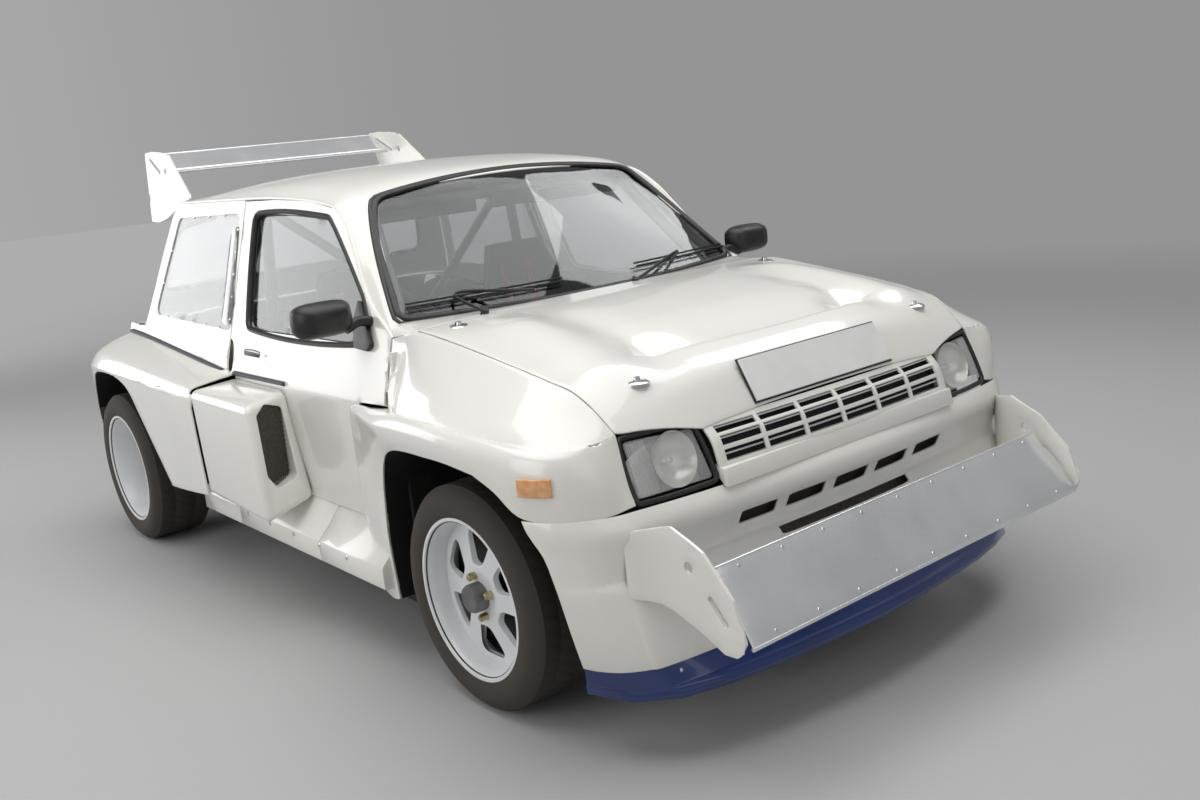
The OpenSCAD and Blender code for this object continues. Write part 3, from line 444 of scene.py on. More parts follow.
# ---------------------------------------------------------------- meshes
def mesh_object(name: str, verts: Iterable[Sequence[float]], faces: Iterable[Sequence[int]],
                finish: Finish, smooth: float = 35.0) -> bpy.types.Object:
    """Make an object from millimetre points.

    Args:
        name: Its name.
        verts: Points in millimetres.
        faces: Index lists.
        finish: Its finish.
        smooth: Edges sharper than this angle in degrees stay sharp; 0 keeps it flat.

    Returns:
        The object.
    """
    mesh = bpy.data.meshes.new(name)
    mesh.from_pydata([tuple(float(c) * MM for c in v) for v in verts], [],
                     [tuple(map(int, f)) for f in faces])
    mesh.validate()
    made = bpy.data.objects.new(name, mesh)
    bpy.context.collection.objects.link(made)
    mesh.materials.append(finish.material())
    if smooth > 0:
        shade(made, smooth)
    return made


def shade(made: bpy.types.Object, angle: float) -> None:
    """Shade smooth, with edges sharper than the angle in degrees kept sharp."""
    made.data.polygons.foreach_set("use_smooth", [True] * len(made.data.polygons))
    made.data.set_sharp_from_angle(angle=math.radians(angle))


def apply_modifiers(made: bpy.types.Object) -> bpy.types.Object:
    """Bake the object's modifiers into its mesh.

    Args:
        made: An object with modifiers.

    Returns:
        The same object.
    """
    graph = bpy.context.evaluated_depsgraph_get()
    mesh = bpy.data.meshes.new_from_object(made.evaluated_get(graph))
    old = made.data
    made.modifiers.clear()
    made.data = mesh
    mesh.name = made.name
    bpy.data.meshes.remove(old)
    return made


def soften(made: bpy.types.Object, width: float, angle: float = 40.0, segments: int = 2) -> bpy.types.Object:
    """Round the sharp edges.

    Args:
        made: The object.
        width: Bevel width in millimetres.
        angle: Only edges sharper than this, in degrees.
        segments: Steps across the bevel.

    Returns:
        The object.
    """
    bevel = made.modifiers.new("edge", "BEVEL")
    bevel.width = width * MM
    bevel.segments = segments
    bevel.limit_method = "ANGLE"
    bevel.angle_limit = math.radians(angle)
    apply_modifiers(made)
    shade(made, 40.0)
    return made


def cut(made: bpy.types.Object, tool: bpy.types.Object, keep: bool = False) -> bpy.types.Object:
    """Cut one object by another, and remove the cutter.

    Args:
        made: The object that is cut.
        tool: The cutter.
        keep: Whether to keep what both share, in place of the rest.

    Returns:
        The object.
    """
    boolean = made.modifiers.new("cut", "BOOLEAN")
    boolean.operation = "INTERSECT" if keep else "DIFFERENCE"
    boolean.solver = "EXACT"
    boolean.object = tool
    apply_modifiers(made)
    bpy.data.objects.remove(tool)
    return made


def joined(name: str, parts: Sequence[bpy.types.Object]) -> bpy.types.Object:
    """Join objects into one, keeping their finishes.

    Args:
        name: The result's name.
        parts: The objects.

    Returns:
        The joined object.
    """
    out = bmesh.new()
    mesh = bpy.data.meshes.new(name)
    for part in parts:
        slots = []
        for material in part.data.materials:
            if mesh.materials.get(material.name) is None:
                mesh.materials.append(material)
            slots.append(mesh.materials.find(material.name))
        part.data.transform(part.matrix_world)
        first = len(out.faces)
        out.from_mesh(part.data)
        out.faces.ensure_lookup_table()
        for face in out.faces[first:]:
            face.material_index = slots[face.material_index] if slots else 0
    out.to_mesh(mesh)
    out.free()
    for part in parts:
        bpy.data.objects.remove(part)
    made = bpy.data.objects.new(name, mesh)
    bpy.context.collection.objects.link(made)
    return made


def flip(faces: Iterable[Sequence[int]], turn: bool) -> list[Sequence[int]]:
    """The faces, turned over where asked."""
    return [tuple(reversed(f)) if turn else tuple(f) for f in faces]


def grid_faces(rows: int, cols: int, close_u: bool = False, close_v: bool = False) -> list[tuple[int, ...]]:
    """Quads over a grid of rows by cols points.

    Args:
        rows: Rows of points.
        cols: Points in each row.
        close_u: Whether the last row joins the first.
        close_v: Whether each row closes on itself.

    Returns:
        The point numbers of each quad.
    """
    out = []
    for i in range(rows if close_u else rows - 1):
        for j in range(cols if close_v else cols - 1):
            a, b = i * cols + j, i * cols + (j + 1) % cols
            c, d = ((i + 1) % rows) * cols + (j + 1) % cols, ((i + 1) % rows) * cols + j
            out.append((a, b, c, d))
    return out


def skin(name: str, grids: Sequence[Grid], finish: Finish, side: Side = Side.LEFT, thick: float = 4.0,
         weld: float = 0.6, edge: float = 1.2, turned: bool = False) -> bpy.types.Object:
    """Make a sheet panel from grids of points that share edges.

    Args:
        name: Its name.
        grids: Each (m, n, 3), for the car's left side.
        finish: Its finish.
        side: The side it is on.
        thick: Sheet thickness, inward.
        weld: Points nearer than this are joined.
        edge: Rounding of its rim.
        turned: Whether the grids run the other way round.

    Returns:
        The panel.
    """
    verts, faces = [], []
    for g in grids:
        start = len(verts)
        verts += [(p[0], p[1] * side.value, p[2]) for p in g.reshape(-1, 3)]
        faces += [tuple(start + k for k in f) for f in grid_faces(*g.shape[:2])]
    made = mesh_object(name, verts, flip(faces, (side is Side.RIGHT) != turned), finish, 0)
    work = bmesh.new()
    work.from_mesh(made.data)
    bmesh.ops.remove_doubles(work, verts=work.verts, dist=weld * MM)
    bmesh.ops.dissolve_degenerate(work, dist=0.01 * MM, edges=work.edges)
    work.to_mesh(made.data)
    work.free()
    return sheet(made, thick, edge)


def sheet(made: bpy.types.Object, thick: float, edge: float = 1.2) -> bpy.types.Object:
    """Thicken a skin inward and round its rim.

    Args:
        made: The skin.
        thick: Thickness in millimetres.
        edge: Rounding of its rim.

    Returns:
        The panel.
    """
    solid = made.modifiers.new("sheet", "SOLIDIFY")
    solid.thickness = thick * MM
    solid.offset = -1.0
    apply_modifiers(made)
    if edge > 0:
        soften(made, edge, 50.0)
    else:
        shade(made, 40.0)
    return made


def inside(points: Grid, outline: Grid) -> Grid:
    """Which points lie inside a closed outline.

    Args:
        points: Points to test, (N, 2).
        outline: The outline, in order.

    Returns:
        True for each point inside.
    """
    x, y = points[:, 0][:, None], points[:, 1][:, None]
    ax, ay = outline[:, 0][None], outline[:, 1][None]
    bx, by = np.roll(ax, -1, axis=1), np.roll(ay, -1, axis=1)
    crosses = ((ay > y) != (by > y)) & (x < (bx - ax) * (y - ay) / np.where(by == ay, 1e-9, by - ay) + ax)
    return crosses.sum(axis=1) % 2 == 1


def trimmed(name: str, surface: Callable[[Grid, Grid], Grid], outline: Sequence[Sequence[float]],
            finish: Finish,
            holes: Sequence[Sequence[Sequence[float]]] = (), step: float = 24.0,
            unit: tuple[float, float] = (1.0, 1.0),
            side: Side = Side.LEFT, thick: float = 4.0, edge: float = 1.2,
            turned: bool = False) -> bpy.types.Object:
    """Make a sheet panel by trimming a surface with outlines in its own two coordinates.

    Args:
        name: Its name.
        surface: Gives points for two coordinate arrays, for the car's left side.
        outline: Its edge, in surface coordinates.
        finish: Its finish.
        holes: Openings.
        step: Mesh size in millimetres.
        unit: Millimetres for each unit of the two coordinates.
        side: The side it is on.
        thick: Sheet thickness.
        edge: Rounding of its rim.
        turned: Whether its front is the other way round.

    Returns:
        The panel.
    """
    scale = np.asarray(unit, float)
    loops = [straight_path(np.asarray(o, float) * scale, step) for o in (outline, *holes)]
    low, high = loops[0].min(axis=0), loops[0].max(axis=0)
    xs, ys = np.arange(low[0], high[0], step), np.arange(low[1], high[1], step * 0.87)
    gx, gy = np.meshgrid(xs, ys, indexing="ij")
    gx = gx + (np.arange(len(ys)) % 2) * step / 2
    inner = np.stack([gx.ravel(), gy.ravel()], 1)
    keep = inside(inner, loops[0])
    for hole in loops[1:]:
        keep &= ~inside(inner, hole)
    border = np.concatenate(loops)
    inner = inner[keep]
    near = np.array([np.min(np.linalg.norm(border - q,
                                           axis=1)) for q in inner]) if len(inner) else np.zeros(0)
    inner = inner[near > 0.5 * step]
    points = np.concatenate([border, inner])
    edges, start = [], 0
    for loop in loops:
        n = len(loop)
        edges += [(start + k, start + (k + 1) % n) for k in range(n)]
        start += n
    flat, _, tris, *_ = delaunay_2d_cdt([Vector(p) for p in points], edges, [], 0, 1e-4)
    flat = np.array([tuple(p) for p in flat])
    tris = np.array([t for t in tris if len(t) == 3])
    middle = flat[tris].mean(axis=1)
    keep = inside(middle, loops[0])
    for hole in loops[1:]:
        keep &= ~inside(middle, hole)
    shape = surface(flat[:, 0] / scale[0], flat[:, 1] / scale[1])
    shape = shape * np.array([1.0, side.value, 1.0])
    made = mesh_object(name, shape, flip(tris[keep], (side is Side.RIGHT) != turned), finish, 0)
    return sheet(made, thick, edge)


def tube(name: str, path: Grid, radius: float | Sequence[float], finish: Finish, sides: int = 12,
         closed: bool = False, flat: float = 1.0) -> bpy.types.Object:
    """Sweep a round or flattened section along a path.

    Args:
        name: Its name.
        path: Points in millimetres.
        radius: Radius, or one at each point.
        finish: Its finish.
        sides: Sides of the section.
        closed: Whether the path is a loop.
        flat: Height of the section against its width.

    Returns:
        The tube.
    """
    p = np.asarray(path, float)
    n = len(p)
    ahead = np.roll(p, -1, axis=0) - np.roll(p, 1, axis=0) if closed else np.gradient(p, axis=0)
    ahead /= np.linalg.norm(ahead, axis=1)[:, None]
    up = np.array([0.0, 0.0, 1.0]) if abs(ahead[0][2]) < 0.9 else np.array([1.0, 0.0, 0.0])
    verts = []
    across = np.cross(ahead[0], up)
    for k in range(n):
        across = across - ahead[k] * (across @ ahead[k])
        across /= np.linalg.norm(across)
        rise = np.cross(across, ahead[k])
        r = radius if np.isscalar(radius) else radius[k]
        for a in np.linspace(0, 2 * math.pi, sides, endpoint=False):
            verts.append(p[k] + r * (math.cos(a) * across + flat * math.sin(a) * rise))
    faces = grid_faces(n, sides, closed, True)
    if not closed:
        faces += [tuple(reversed(range(sides))), tuple(range((n - 1) * sides, n * sides))]
    made = mesh_object(name, verts, faces, finish, 50.0)
    fix_normals(made)
    return made


def fix_normals(made: bpy.types.Object) -> bpy.types.Object:
    """Turn all faces of a closed mesh outward.

    Args:
        made: An object with a closed mesh.

    Returns:
        The same object.
    """
    work = bmesh.new()
    work.from_mesh(made.data)
    bmesh.ops.recalc_face_normals(work, faces=work.faces)
    work.to_mesh(made.data)
    work.free()
    return made


def lathe(name: str, profile: Sequence[tuple[float, float]], centre: Sequence[float], finish: Finish,
          axis: Sequence[float] = (0, 1, 0), steps: int = 96, closed: bool = True) -> bpy.types.Object:
    """Turn a profile round an axis.

    Args:
        name: Its name.
        profile: [radius, distance along the axis] points.
        centre: Where distance 0 lies.
        finish: Its finish.
        axis: Direction of the axis.
        steps: Steps round.
        closed: Whether the profile is a closed outline.

    Returns:
        The turned object.
    """
    w = np.asarray(axis, float) / np.linalg.norm(axis)
    a = np.cross(w, [1.0, 0.0, 0.0] if abs(w[0]) < 0.9 else [0.0, 0.0, 1.0])
    a /= np.linalg.norm(a)
    b = np.cross(w, a)
    verts = [np.asarray(centre) + r * (math.cos(t) * a + math.sin(t) * b) + d * w
             for t in np.linspace(0, 2 * math.pi, steps, endpoint=False) for r, d in profile]
    faces = grid_faces(steps, len(profile), True, closed)
    made = mesh_object(name, verts, faces, finish, 0)
    work = bmesh.new()
    work.from_mesh(made.data)
    bmesh.ops.remove_doubles(work, verts=work.verts, dist=0.01 * MM)
    bmesh.ops.recalc_face_normals(work, faces=work.faces)
    work.to_mesh(made.data)
    work.free()
    shade(made, 35.0)
    return made


def block(name: str, low: Sequence[float], high: Sequence[float], finish: Finish,
          edge: float = 2.0) -> bpy.types.Object:
    """A box with rounded edges, from corner to corner in millimetres.

    Args:
        name: The piece's name.
        low: Lowest corner.
        high: Highest corner.
        finish: Its finish.
        edge: Radius of its edges, or 0 for sharp ones.

    Returns:
        The block.
    """
    x, y, z = zip(low, high)
    verts = [(a, b, c) for a in x for b in y for c in z]
    faces = [(0, 1, 3, 2), (4, 6, 7, 5), (0, 4, 5, 1), (2, 3, 7, 6), (0, 2, 6, 4), (1, 5, 7, 3)]
    made = mesh_object(name, verts, faces, finish, 0)
    return soften(made, edge) if edge > 0 else made


def prism(name: str, outline: Sequence[Sequence[float]], axis: int, low: float, high: float, finish: Finish,
          edge: float = 0.0) -> bpy.types.Object:
    """Extrude an outline along an axis.

    Args:
        name: Its name.
        outline: Points in the other two axes, in x, y, z order.
        axis: 0, 1 or 2.
        low: Where it starts.
        high: Where it ends.
        finish: Its finish.
        edge: Rounding of its edges.

    Returns:
        The prism.
    """
    n = len(outline)
    verts = []
    for depth in (low, high):
        for p in outline:
            point = list(p)
            point.insert(axis, depth)
            verts.append(point)
    faces = [tuple(range(n)), tuple(reversed(range(n, 2 * n)))]
    faces += [(k, k + n, (k + 1) % n + n, (k + 1) % n) for k in range(n)]
    made = mesh_object(name, verts, faces, finish, 0)
    fix_normals(made)
    if edge > 0:
        soften(made, edge)
    else:
        shade(made, 35.0)
    return made


def settle(made: bpy.types.Object, body: str, slot: Optional[str] = None, *nodes: str) -> bpy.types.Object:
    """Say what a finished piece moves with and stands for.

    Args:
        made: The piece.
        body: The body that it rides on.
        slot: The record's material slot; not used.
        nodes: CAD nodes that it replaces.

    Returns:
        The piece.
    """
    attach(made, body)
    if nodes:
        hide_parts(*nodes)
    LOG.info("%s: %d faces on %s", made.name, len(made.data.polygons), body)
    return made


# ---------------------------------------------------------------- shared body surfaces
SIDE_Z = np.array([200.0, 398, 480, 600, 700, 760, 812, 865, 905, 1100, 1345])
SIDE_Y = np.array([747.0, 749, 754, 757, 757, 754, 742, 725, 712.5, 654, 580.5])


def side_y(z: Grid) -> Grid:
    """Half width of the cabin at a height."""
    return hermite(SIDE_Z, SIDE_Y, np.asarray(z, float))


def cabin_side(x: Grid, z: Grid) -> Grid:
    """The cabin's flank over [x, z]."""
    return np.stack([x, side_y(z), z], 1)


def inner_side(depth: float) -> Callable[[Grid, Grid], Grid]:
    """The cabin's flank moved inward by a depth."""
    return lambda x, z: np.stack([x, side_y(z) - depth, z], 1)


def whole(row: Sequence[Sequence[float]]) -> list[list[float]]:
    """A half section, centre first, completed with its mirror image."""
    return [[x, -y, z] for x, y, z in reversed(row[1:])] + [list(p) for p in row]


# Each row runs from the centre line to the cabin's edge
UPPER_ROWS = [
    [(600, 0, 960), (590, 280, 961), (566, 520, 964), (534, 670, 964), (560, 701, 938)],
    [(510, 0, 1050), (500, 250, 1050), (478, 470, 1050), (447, 631, 1047), (382, 667, 1050)],
    [(375, 0, 1180), (366, 235, 1178), (347, 430, 1165), (343, 584, 1150), (300, 640, 1148)],
    [(262, 0, 1287), (254, 220, 1282), (240, 400, 1266), (239, 540, 1250), (215, 612, 1240)],
    [(190, 0, 1345), (186, 200, 1340), (180, 370, 1327), (178, 509, 1309), (132, 597, 1291)],
    [(60, 0, 1376), (55, 200, 1373), (50, 380, 1362), (45, 515, 1341), (30, 592, 1308)],
    [(-300, 0, 1400), (-300, 210, 1397), (-300, 390, 1387), (-300, 520, 1366), (-300, 586, 1331)],
    [(-700, 0, 1397), (-700, 210, 1394), (-700, 390, 1384), (-700, 520, 1364), (-700, 585, 1334)],
    [(-1000, 0, 1376), (-1000, 210, 1373), (-1000, 390, 1364), (-1000, 520, 1350), (-1000, 585, 1334)],
    [(-1129, 0, 1352), (-1134, 210, 1350), (-1146, 390, 1346), (-1167, 520, 1341), (-1190, 584, 1333)],
]
GATE_ROWS = [
    [(-1136, 0, 1351), (-1141, 210, 1349), (-1153, 390, 1345), (-1174, 520, 1340), (-1198, 584, 1331)],
    [(-1258, 0, 1318), (-1260, 215, 1317), (-1262, 400, 1312), (-1262, 520, 1303), (-1248, 597, 1288)],
    [(-1400, 0, 1262), (-1398, 220, 1260), (-1388, 410, 1252), (-1352, 545, 1235), (-1282, 619, 1214)],
    [(-1442, 0, 1180), (-1439, 225, 1178), (-1428, 430, 1171), (-1393, 572, 1158), (-1316, 641, 1141)],
    [(-1510, 0, 1040), (-1507, 235, 1038), (-1494, 455, 1031), (-1455, 612, 1020), (-1369, 682, 1005)],
    [(-1570, 0, 925), (-1567, 245, 924), (-1553, 475, 920), (-1510, 647, 914), (-1411, 710, 905)],
    [(-1598, 0, 872), (-1596, 250, 872), (-1580, 485, 871), (-1534, 662, 870), (-1430, 724, 868)],
]
UPPER = Patch([whole(r) for r in UPPER_ROWS])
GATE = Patch([whole(r) for r in GATE_ROWS])


def lowered(patch: Patch, depth: float) -> Callable[[Grid, Grid], Grid]:
    """A patch's surface moved inward along its normals."""
    def surface(u: Grid, v: Grid) -> Grid:
        """Points of the lowered surface.

        Args:
            u: Row parameter of each point.
            v: Column parameter of each point.

        Returns:
            The points.
        """
        d = 0.02
        here = patch.at(u, v)
        n = np.cross(patch.at(u + d, v) - patch.at(u - d, v), patch.at(u, v + d) - patch.at(u, v - d))
        n /= np.linalg.norm(n, axis=1)[:, None]
        return here - n * depth
    return surface


BONNET_X = np.array([690.0, 900, 1050, 1150, 1250, 1300, 1350, 1400, 1430, 1460, 1492])
BONNET_Z = np.array([975.0, 972, 957, 940, 917, 903, 886, 864, 841, 798, 744])
SEAM_X = np.array([690.0, 753, 850, 1000, 1113, 1176, 1250, 1323, 1375, 1410, 1441, 1500])
SEAM_Z = np.array([960.0, 954, 940, 917, 898, 888, 873, 856, 826, 797, 766, 700])
SEAM_Y = np.array([694.0, 692, 690, 690, 690, 690, 688, 683, 677, 672, 667, 655])


def ease(t: Grid) -> Grid:
    """A smooth step from 0 to 1."""
    t = np.clip(t, 0, 1)
    return t * t * (3 - 2 * t)


def bonnet_surface(x: Grid, y: Grid) -> Grid:
    """The bonnet over [x, y], with its raised flanks, its crosswise step and the pocket of its vent.

    Args:
        x: Places along the car.
        y: Places across the car, as many as x.

    Returns:
        The points, (count, 3).
    """
    wide = np.abs(y) / hermite(SEAM_X, SEAM_Y, x)
    middle, seam = hermite(BONNET_X, BONNET_Z, x), hermite(SEAM_X, SEAM_Z, x)
    z = middle + (seam - middle) * np.clip(wide, 0, 1.2) ** 2.6
    # long swellings beside the raised centre, fading out at the screen
    crest = np.exp(-(((np.abs(y) - 560 + 0.10 * (1400 - x)) / 70) ** 2))
    z = z + 16 * crest * ease((x - 740) / 200) * ease((1420 - x) / 120)
    valley = np.exp(-(((np.abs(y) - 430 + 0.16 * (1400 - x)) / 55) ** 2))
    z = z - 9 * valley * ease((x - 880) / 200) * ease((1400 - x) / 120)
    # step across the front, its ramp sinking towards it from behind
    line = 1312 - 0.00016 * y**2
    reach = ease((430 - np.abs(y)) / 60)
    ramp = ease((x - line + 190) / 185) * (x < line)
    rise = 1 - ease((x - line) / 26)
    pocket = np.exp(-(((np.abs(y) - 350) / 62) ** 2)) * ease((x - line + 120) / 110) * (x < line)
    return np.stack([x, y, z - 16 * reach * np.where(x < line, ramp, rise) - 27 * pocket], 1)


# ---------------------------------------------------------------- sub-assemblies
@dataclass
class Cabin:
    """Roof, pillars, screens and side panels of the cabin."""

    sheet_t: float = 5.0
    seal_r: float = 11.0
    window_r: float = 40.0
    screen: Sequence[tuple[float, float]] = ((0.12, 1.06), (0.12, 6.94), (3.90, 6.92), (3.90, 1.08))
    quarter_edge: Sequence[tuple[float, float]] = (
        (-551, 1326), (-900, 1331), (-1188, 1331), (-1241, 1287), (-1276, 1212), (-1310, 1140), (-1363, 1004),
        (-1405, 904), (-1424, 864), (-1500, 860), (-1597, 866), (-1597, 836), (-1500, 832), (-1300, 818),
        (-1100, 801), (-900, 784), (-700, 767), (-583, 757), (-551, 755))
    post_edge: Sequence[tuple[float, float]] = ((536, 752), (606, 752), (606, 930), (536, 930))
    quarter_pane: Sequence[tuple[float, float]] = ((-1175, 1275), (-584, 1285), (-540, 891), (-1328, 911))

    def screen_outline(self, grow: float = 0.0) -> Outline:
        """The screen's edge in the upper surface's coordinates, grown by a share of a step.

        Args:
            grow: Share of a step that the edge moves outwards.

        Returns:
            The outline's points.
        """
        middle = np.array([2.0, 4.0])
        points = [(u + math.copysign(grow, u - middle[0]), v + math.copysign(grow, v - middle[1]))
                  for u, v in self.screen]
        return rounded(points, 0.42, 10)

    def build(self) -> None:
        """Make the shell, its screen, seals and side windows."""
        parts = [self.roof(), *(self.quarter(s) for s in Side), *(self.gutter(s) for s in Side),
                 self.scuttle()]
        parts += [self.pillar_inside(s) for s in Side]
        parts += [trimmed("hinge_post", inner_side(11), self.post_edge, PAINT, (), 30, side=s, thick=3,
                          edge=0)
                  for s in Side]
        settle(joined("cabin_shell_panels", parts), "chassis", "body_white", "cabin_shell")
        settle(self.screen_glass(), "chassis", "window_glass", "windscreen")
        settle(self.seal(), "chassis", "black_trim")
        for s in Side:
            settle(self.quarter_window(s), "chassis", "perspex", "quarter_windows")
        settle(self.headlining(), "chassis", "body_white")

    def roof(self) -> bpy.types.Object:
        """Roof and screen pillars in one sheet."""
        outline = [(0, 0), (0, 8), (9, 8), (9, 0)]
        return trimmed("roof", UPPER.at, outline, PAINT, [self.screen_outline()], 26, (135, 150),
                       thick=self.sheet_t, turned=True)

    def headlining(self) -> bpy.types.Object:
        """Inner skin below the roof, near-black as painted shade inside the cabin."""
        # Near-black sheet: painted shade under the roof.
        return trimmed("headlining", lowered(UPPER, -24), [(4.2, 0.4), (4.2, 7.6), (8.9, 7.6), (8.9, 0.4)],
                       INNER_SHADE, (), 60, (200, 150), thick=2, edge=0, turned=True)

    def screen_glass(self) -> bpy.types.Object:
        """The curved windscreen."""
        return trimmed("windscreen_glass", lowered(UPPER, -3.0), self.screen_outline(0.02), GLASS, (), 40,
                       (135, 150), thick=5, edge=0, turned=True)

    def seal(self) -> bpy.types.Object:
        """Thick rubber round the windscreen, with a thinner inner lip.

        Returns:
            The seal.
        """
        edge = np.asarray(self.screen_outline(0.0))
        path = UPPER.at(edge[:, 0], edge[:, 1])
        edge = np.asarray(self.screen_outline(-0.12))
        inner = UPPER.at(edge[:, 0], edge[:, 1])
        return joined("windscreen_seal", [
            tube("seal_outer", smooth_path(path, 24, True), self.seal_r, RUBBER, 12, True, 0.7),
            tube("seal_inner", smooth_path(inner, 24, True), self.seal_r * 0.62, RUBBER, 10, True, 0.7)])

    def scuttle(self) -> bpy.types.Object:
        """Panel between the bonnet and the windscreen, with the pillars' feet.

        Returns:
            The panel.
        """
        x = np.full(9, 686.0)
        y = np.array([0, 180, 350, 480, 560, 620, 660, 685, 694.0])
        front = np.stack([x, y, bonnet_surface(x, y)[:, 2] - 1.5], 1)
        back = UPPER.at(np.zeros(9), 4 + np.array([0, 0.65, 1.3, 1.85, 2.25, 2.6, 3, 3.6, 4]))
        rows = np.stack([front, (front + back) / 2, back])
        full = np.concatenate([rows[:, :0:-1] * np.array([1, -1, 1]), rows], axis=1)
        return skin("scuttle", [np.swapaxes(Patch(full).sampled(6, 60), 0, 1)], PAINT, thick=self.sheet_t)

    def quarter(self, s: Side) -> bpy.types.Object:
        """Panel behind the door, round the rear side window."""
        pane = rounded(self.quarter_pane, self.window_r)
        return trimmed("quarter_" + s.word, cabin_side, self.quarter_edge, PAINT, [pane], 26, side=s,
                       thick=self.sheet_t, edge=2.0)

    def gutter(self, s: Side) -> bpy.types.Object:
        """Drip rail along the roof's edge and down the pillar."""
        path = smooth_path([(x, y * s.value + s.value * 1.5, z - 2) for x, y, z in
                            [UPPER_ROWS[k][4] for k in range(9, -1, -1)]], 30)
        return tube("gutter_" + s.word, path, 6.5, PAINT, 10)

    def pillar_inside(self, s: Side) -> bpy.types.Object:
        """Inner face of the windscreen pillar and roof rail, near-black as painted shade."""
        path = smooth_path([(x - 12, (y - 26) * s.value, z - 18) for x, y, z in
                            [UPPER_ROWS[k][4] for k in range(9, -1, -1)]], 40)
        return tube("rail_inside_" + s.word, path, 15, INNER_SHADE, 10)

    def quarter_window(self, s: Side) -> bpy.types.Object:
        """Clear pane held by bolts, with its bulged mesh duct.

        Args:
            s: The car's side.

        Returns:
            Pane, duct, strip and bolts as one object.
        """
        edge = rounded([(x + (9 if x < -900 else -9) * -1, z + (9 if z > 1000 else -9))
                        for x, z in self.quarter_pane], self.window_r)
        pane = trimmed("pane", inner_side(3.5), edge, PERSPEX, (), 60, side=s, thick=4, edge=0)
        duct = rounded([(-600, 1245), (-575, 1200), (-556, 940), (-575, 905), (-628, 925), (-655, 1050),
                        (-648, 1190)],
                       40)
        cover = trimmed("duct_cover", lambda x, z: np.stack(
            [x, side_y(z) + 1 + 12 * np.clip(1 - ((x + 605) / 52) ** 2, 0, 1), z], 1), duct, PERSPEX, (), 18,
            side=s, thick=2, edge=0)
        strip = trimmed("duct_mesh", lambda x, z: np.stack([x, side_y(z) + 0.5, z], 1),
                        rounded([(-618, 1240), (-590, 1240), (-572, 915), (-606, 915)], 10), GRILLE_MESH,
                        (), 20,
                        side=s, thick=1.5, edge=0)
        bolts = [self.bolt(x, z, s) for x, z in straight_path(self.quarter_pane, 150)]
        bolts += [self.bolt(-598 + 0.065 * (1230 - z), z, s) for z in range(930, 1240, 75)]
        return joined("quarter_pane_" + s.word, [pane, cover, strip, *bolts])

    @staticmethod
    def bolt(x: float, z: float, s: Side) -> bpy.types.Object:
        """A small domed screw on the cabin's flank."""
        y = float(side_y(np.array([z]))[0]) * s.value
        return lathe("screw", [(0, 5), (4, 4.4), (6.5, 2), (7, -4), (0, -4)], (x, y, z), CHROME,
                     (0, s.value, 0.3), 12, False)


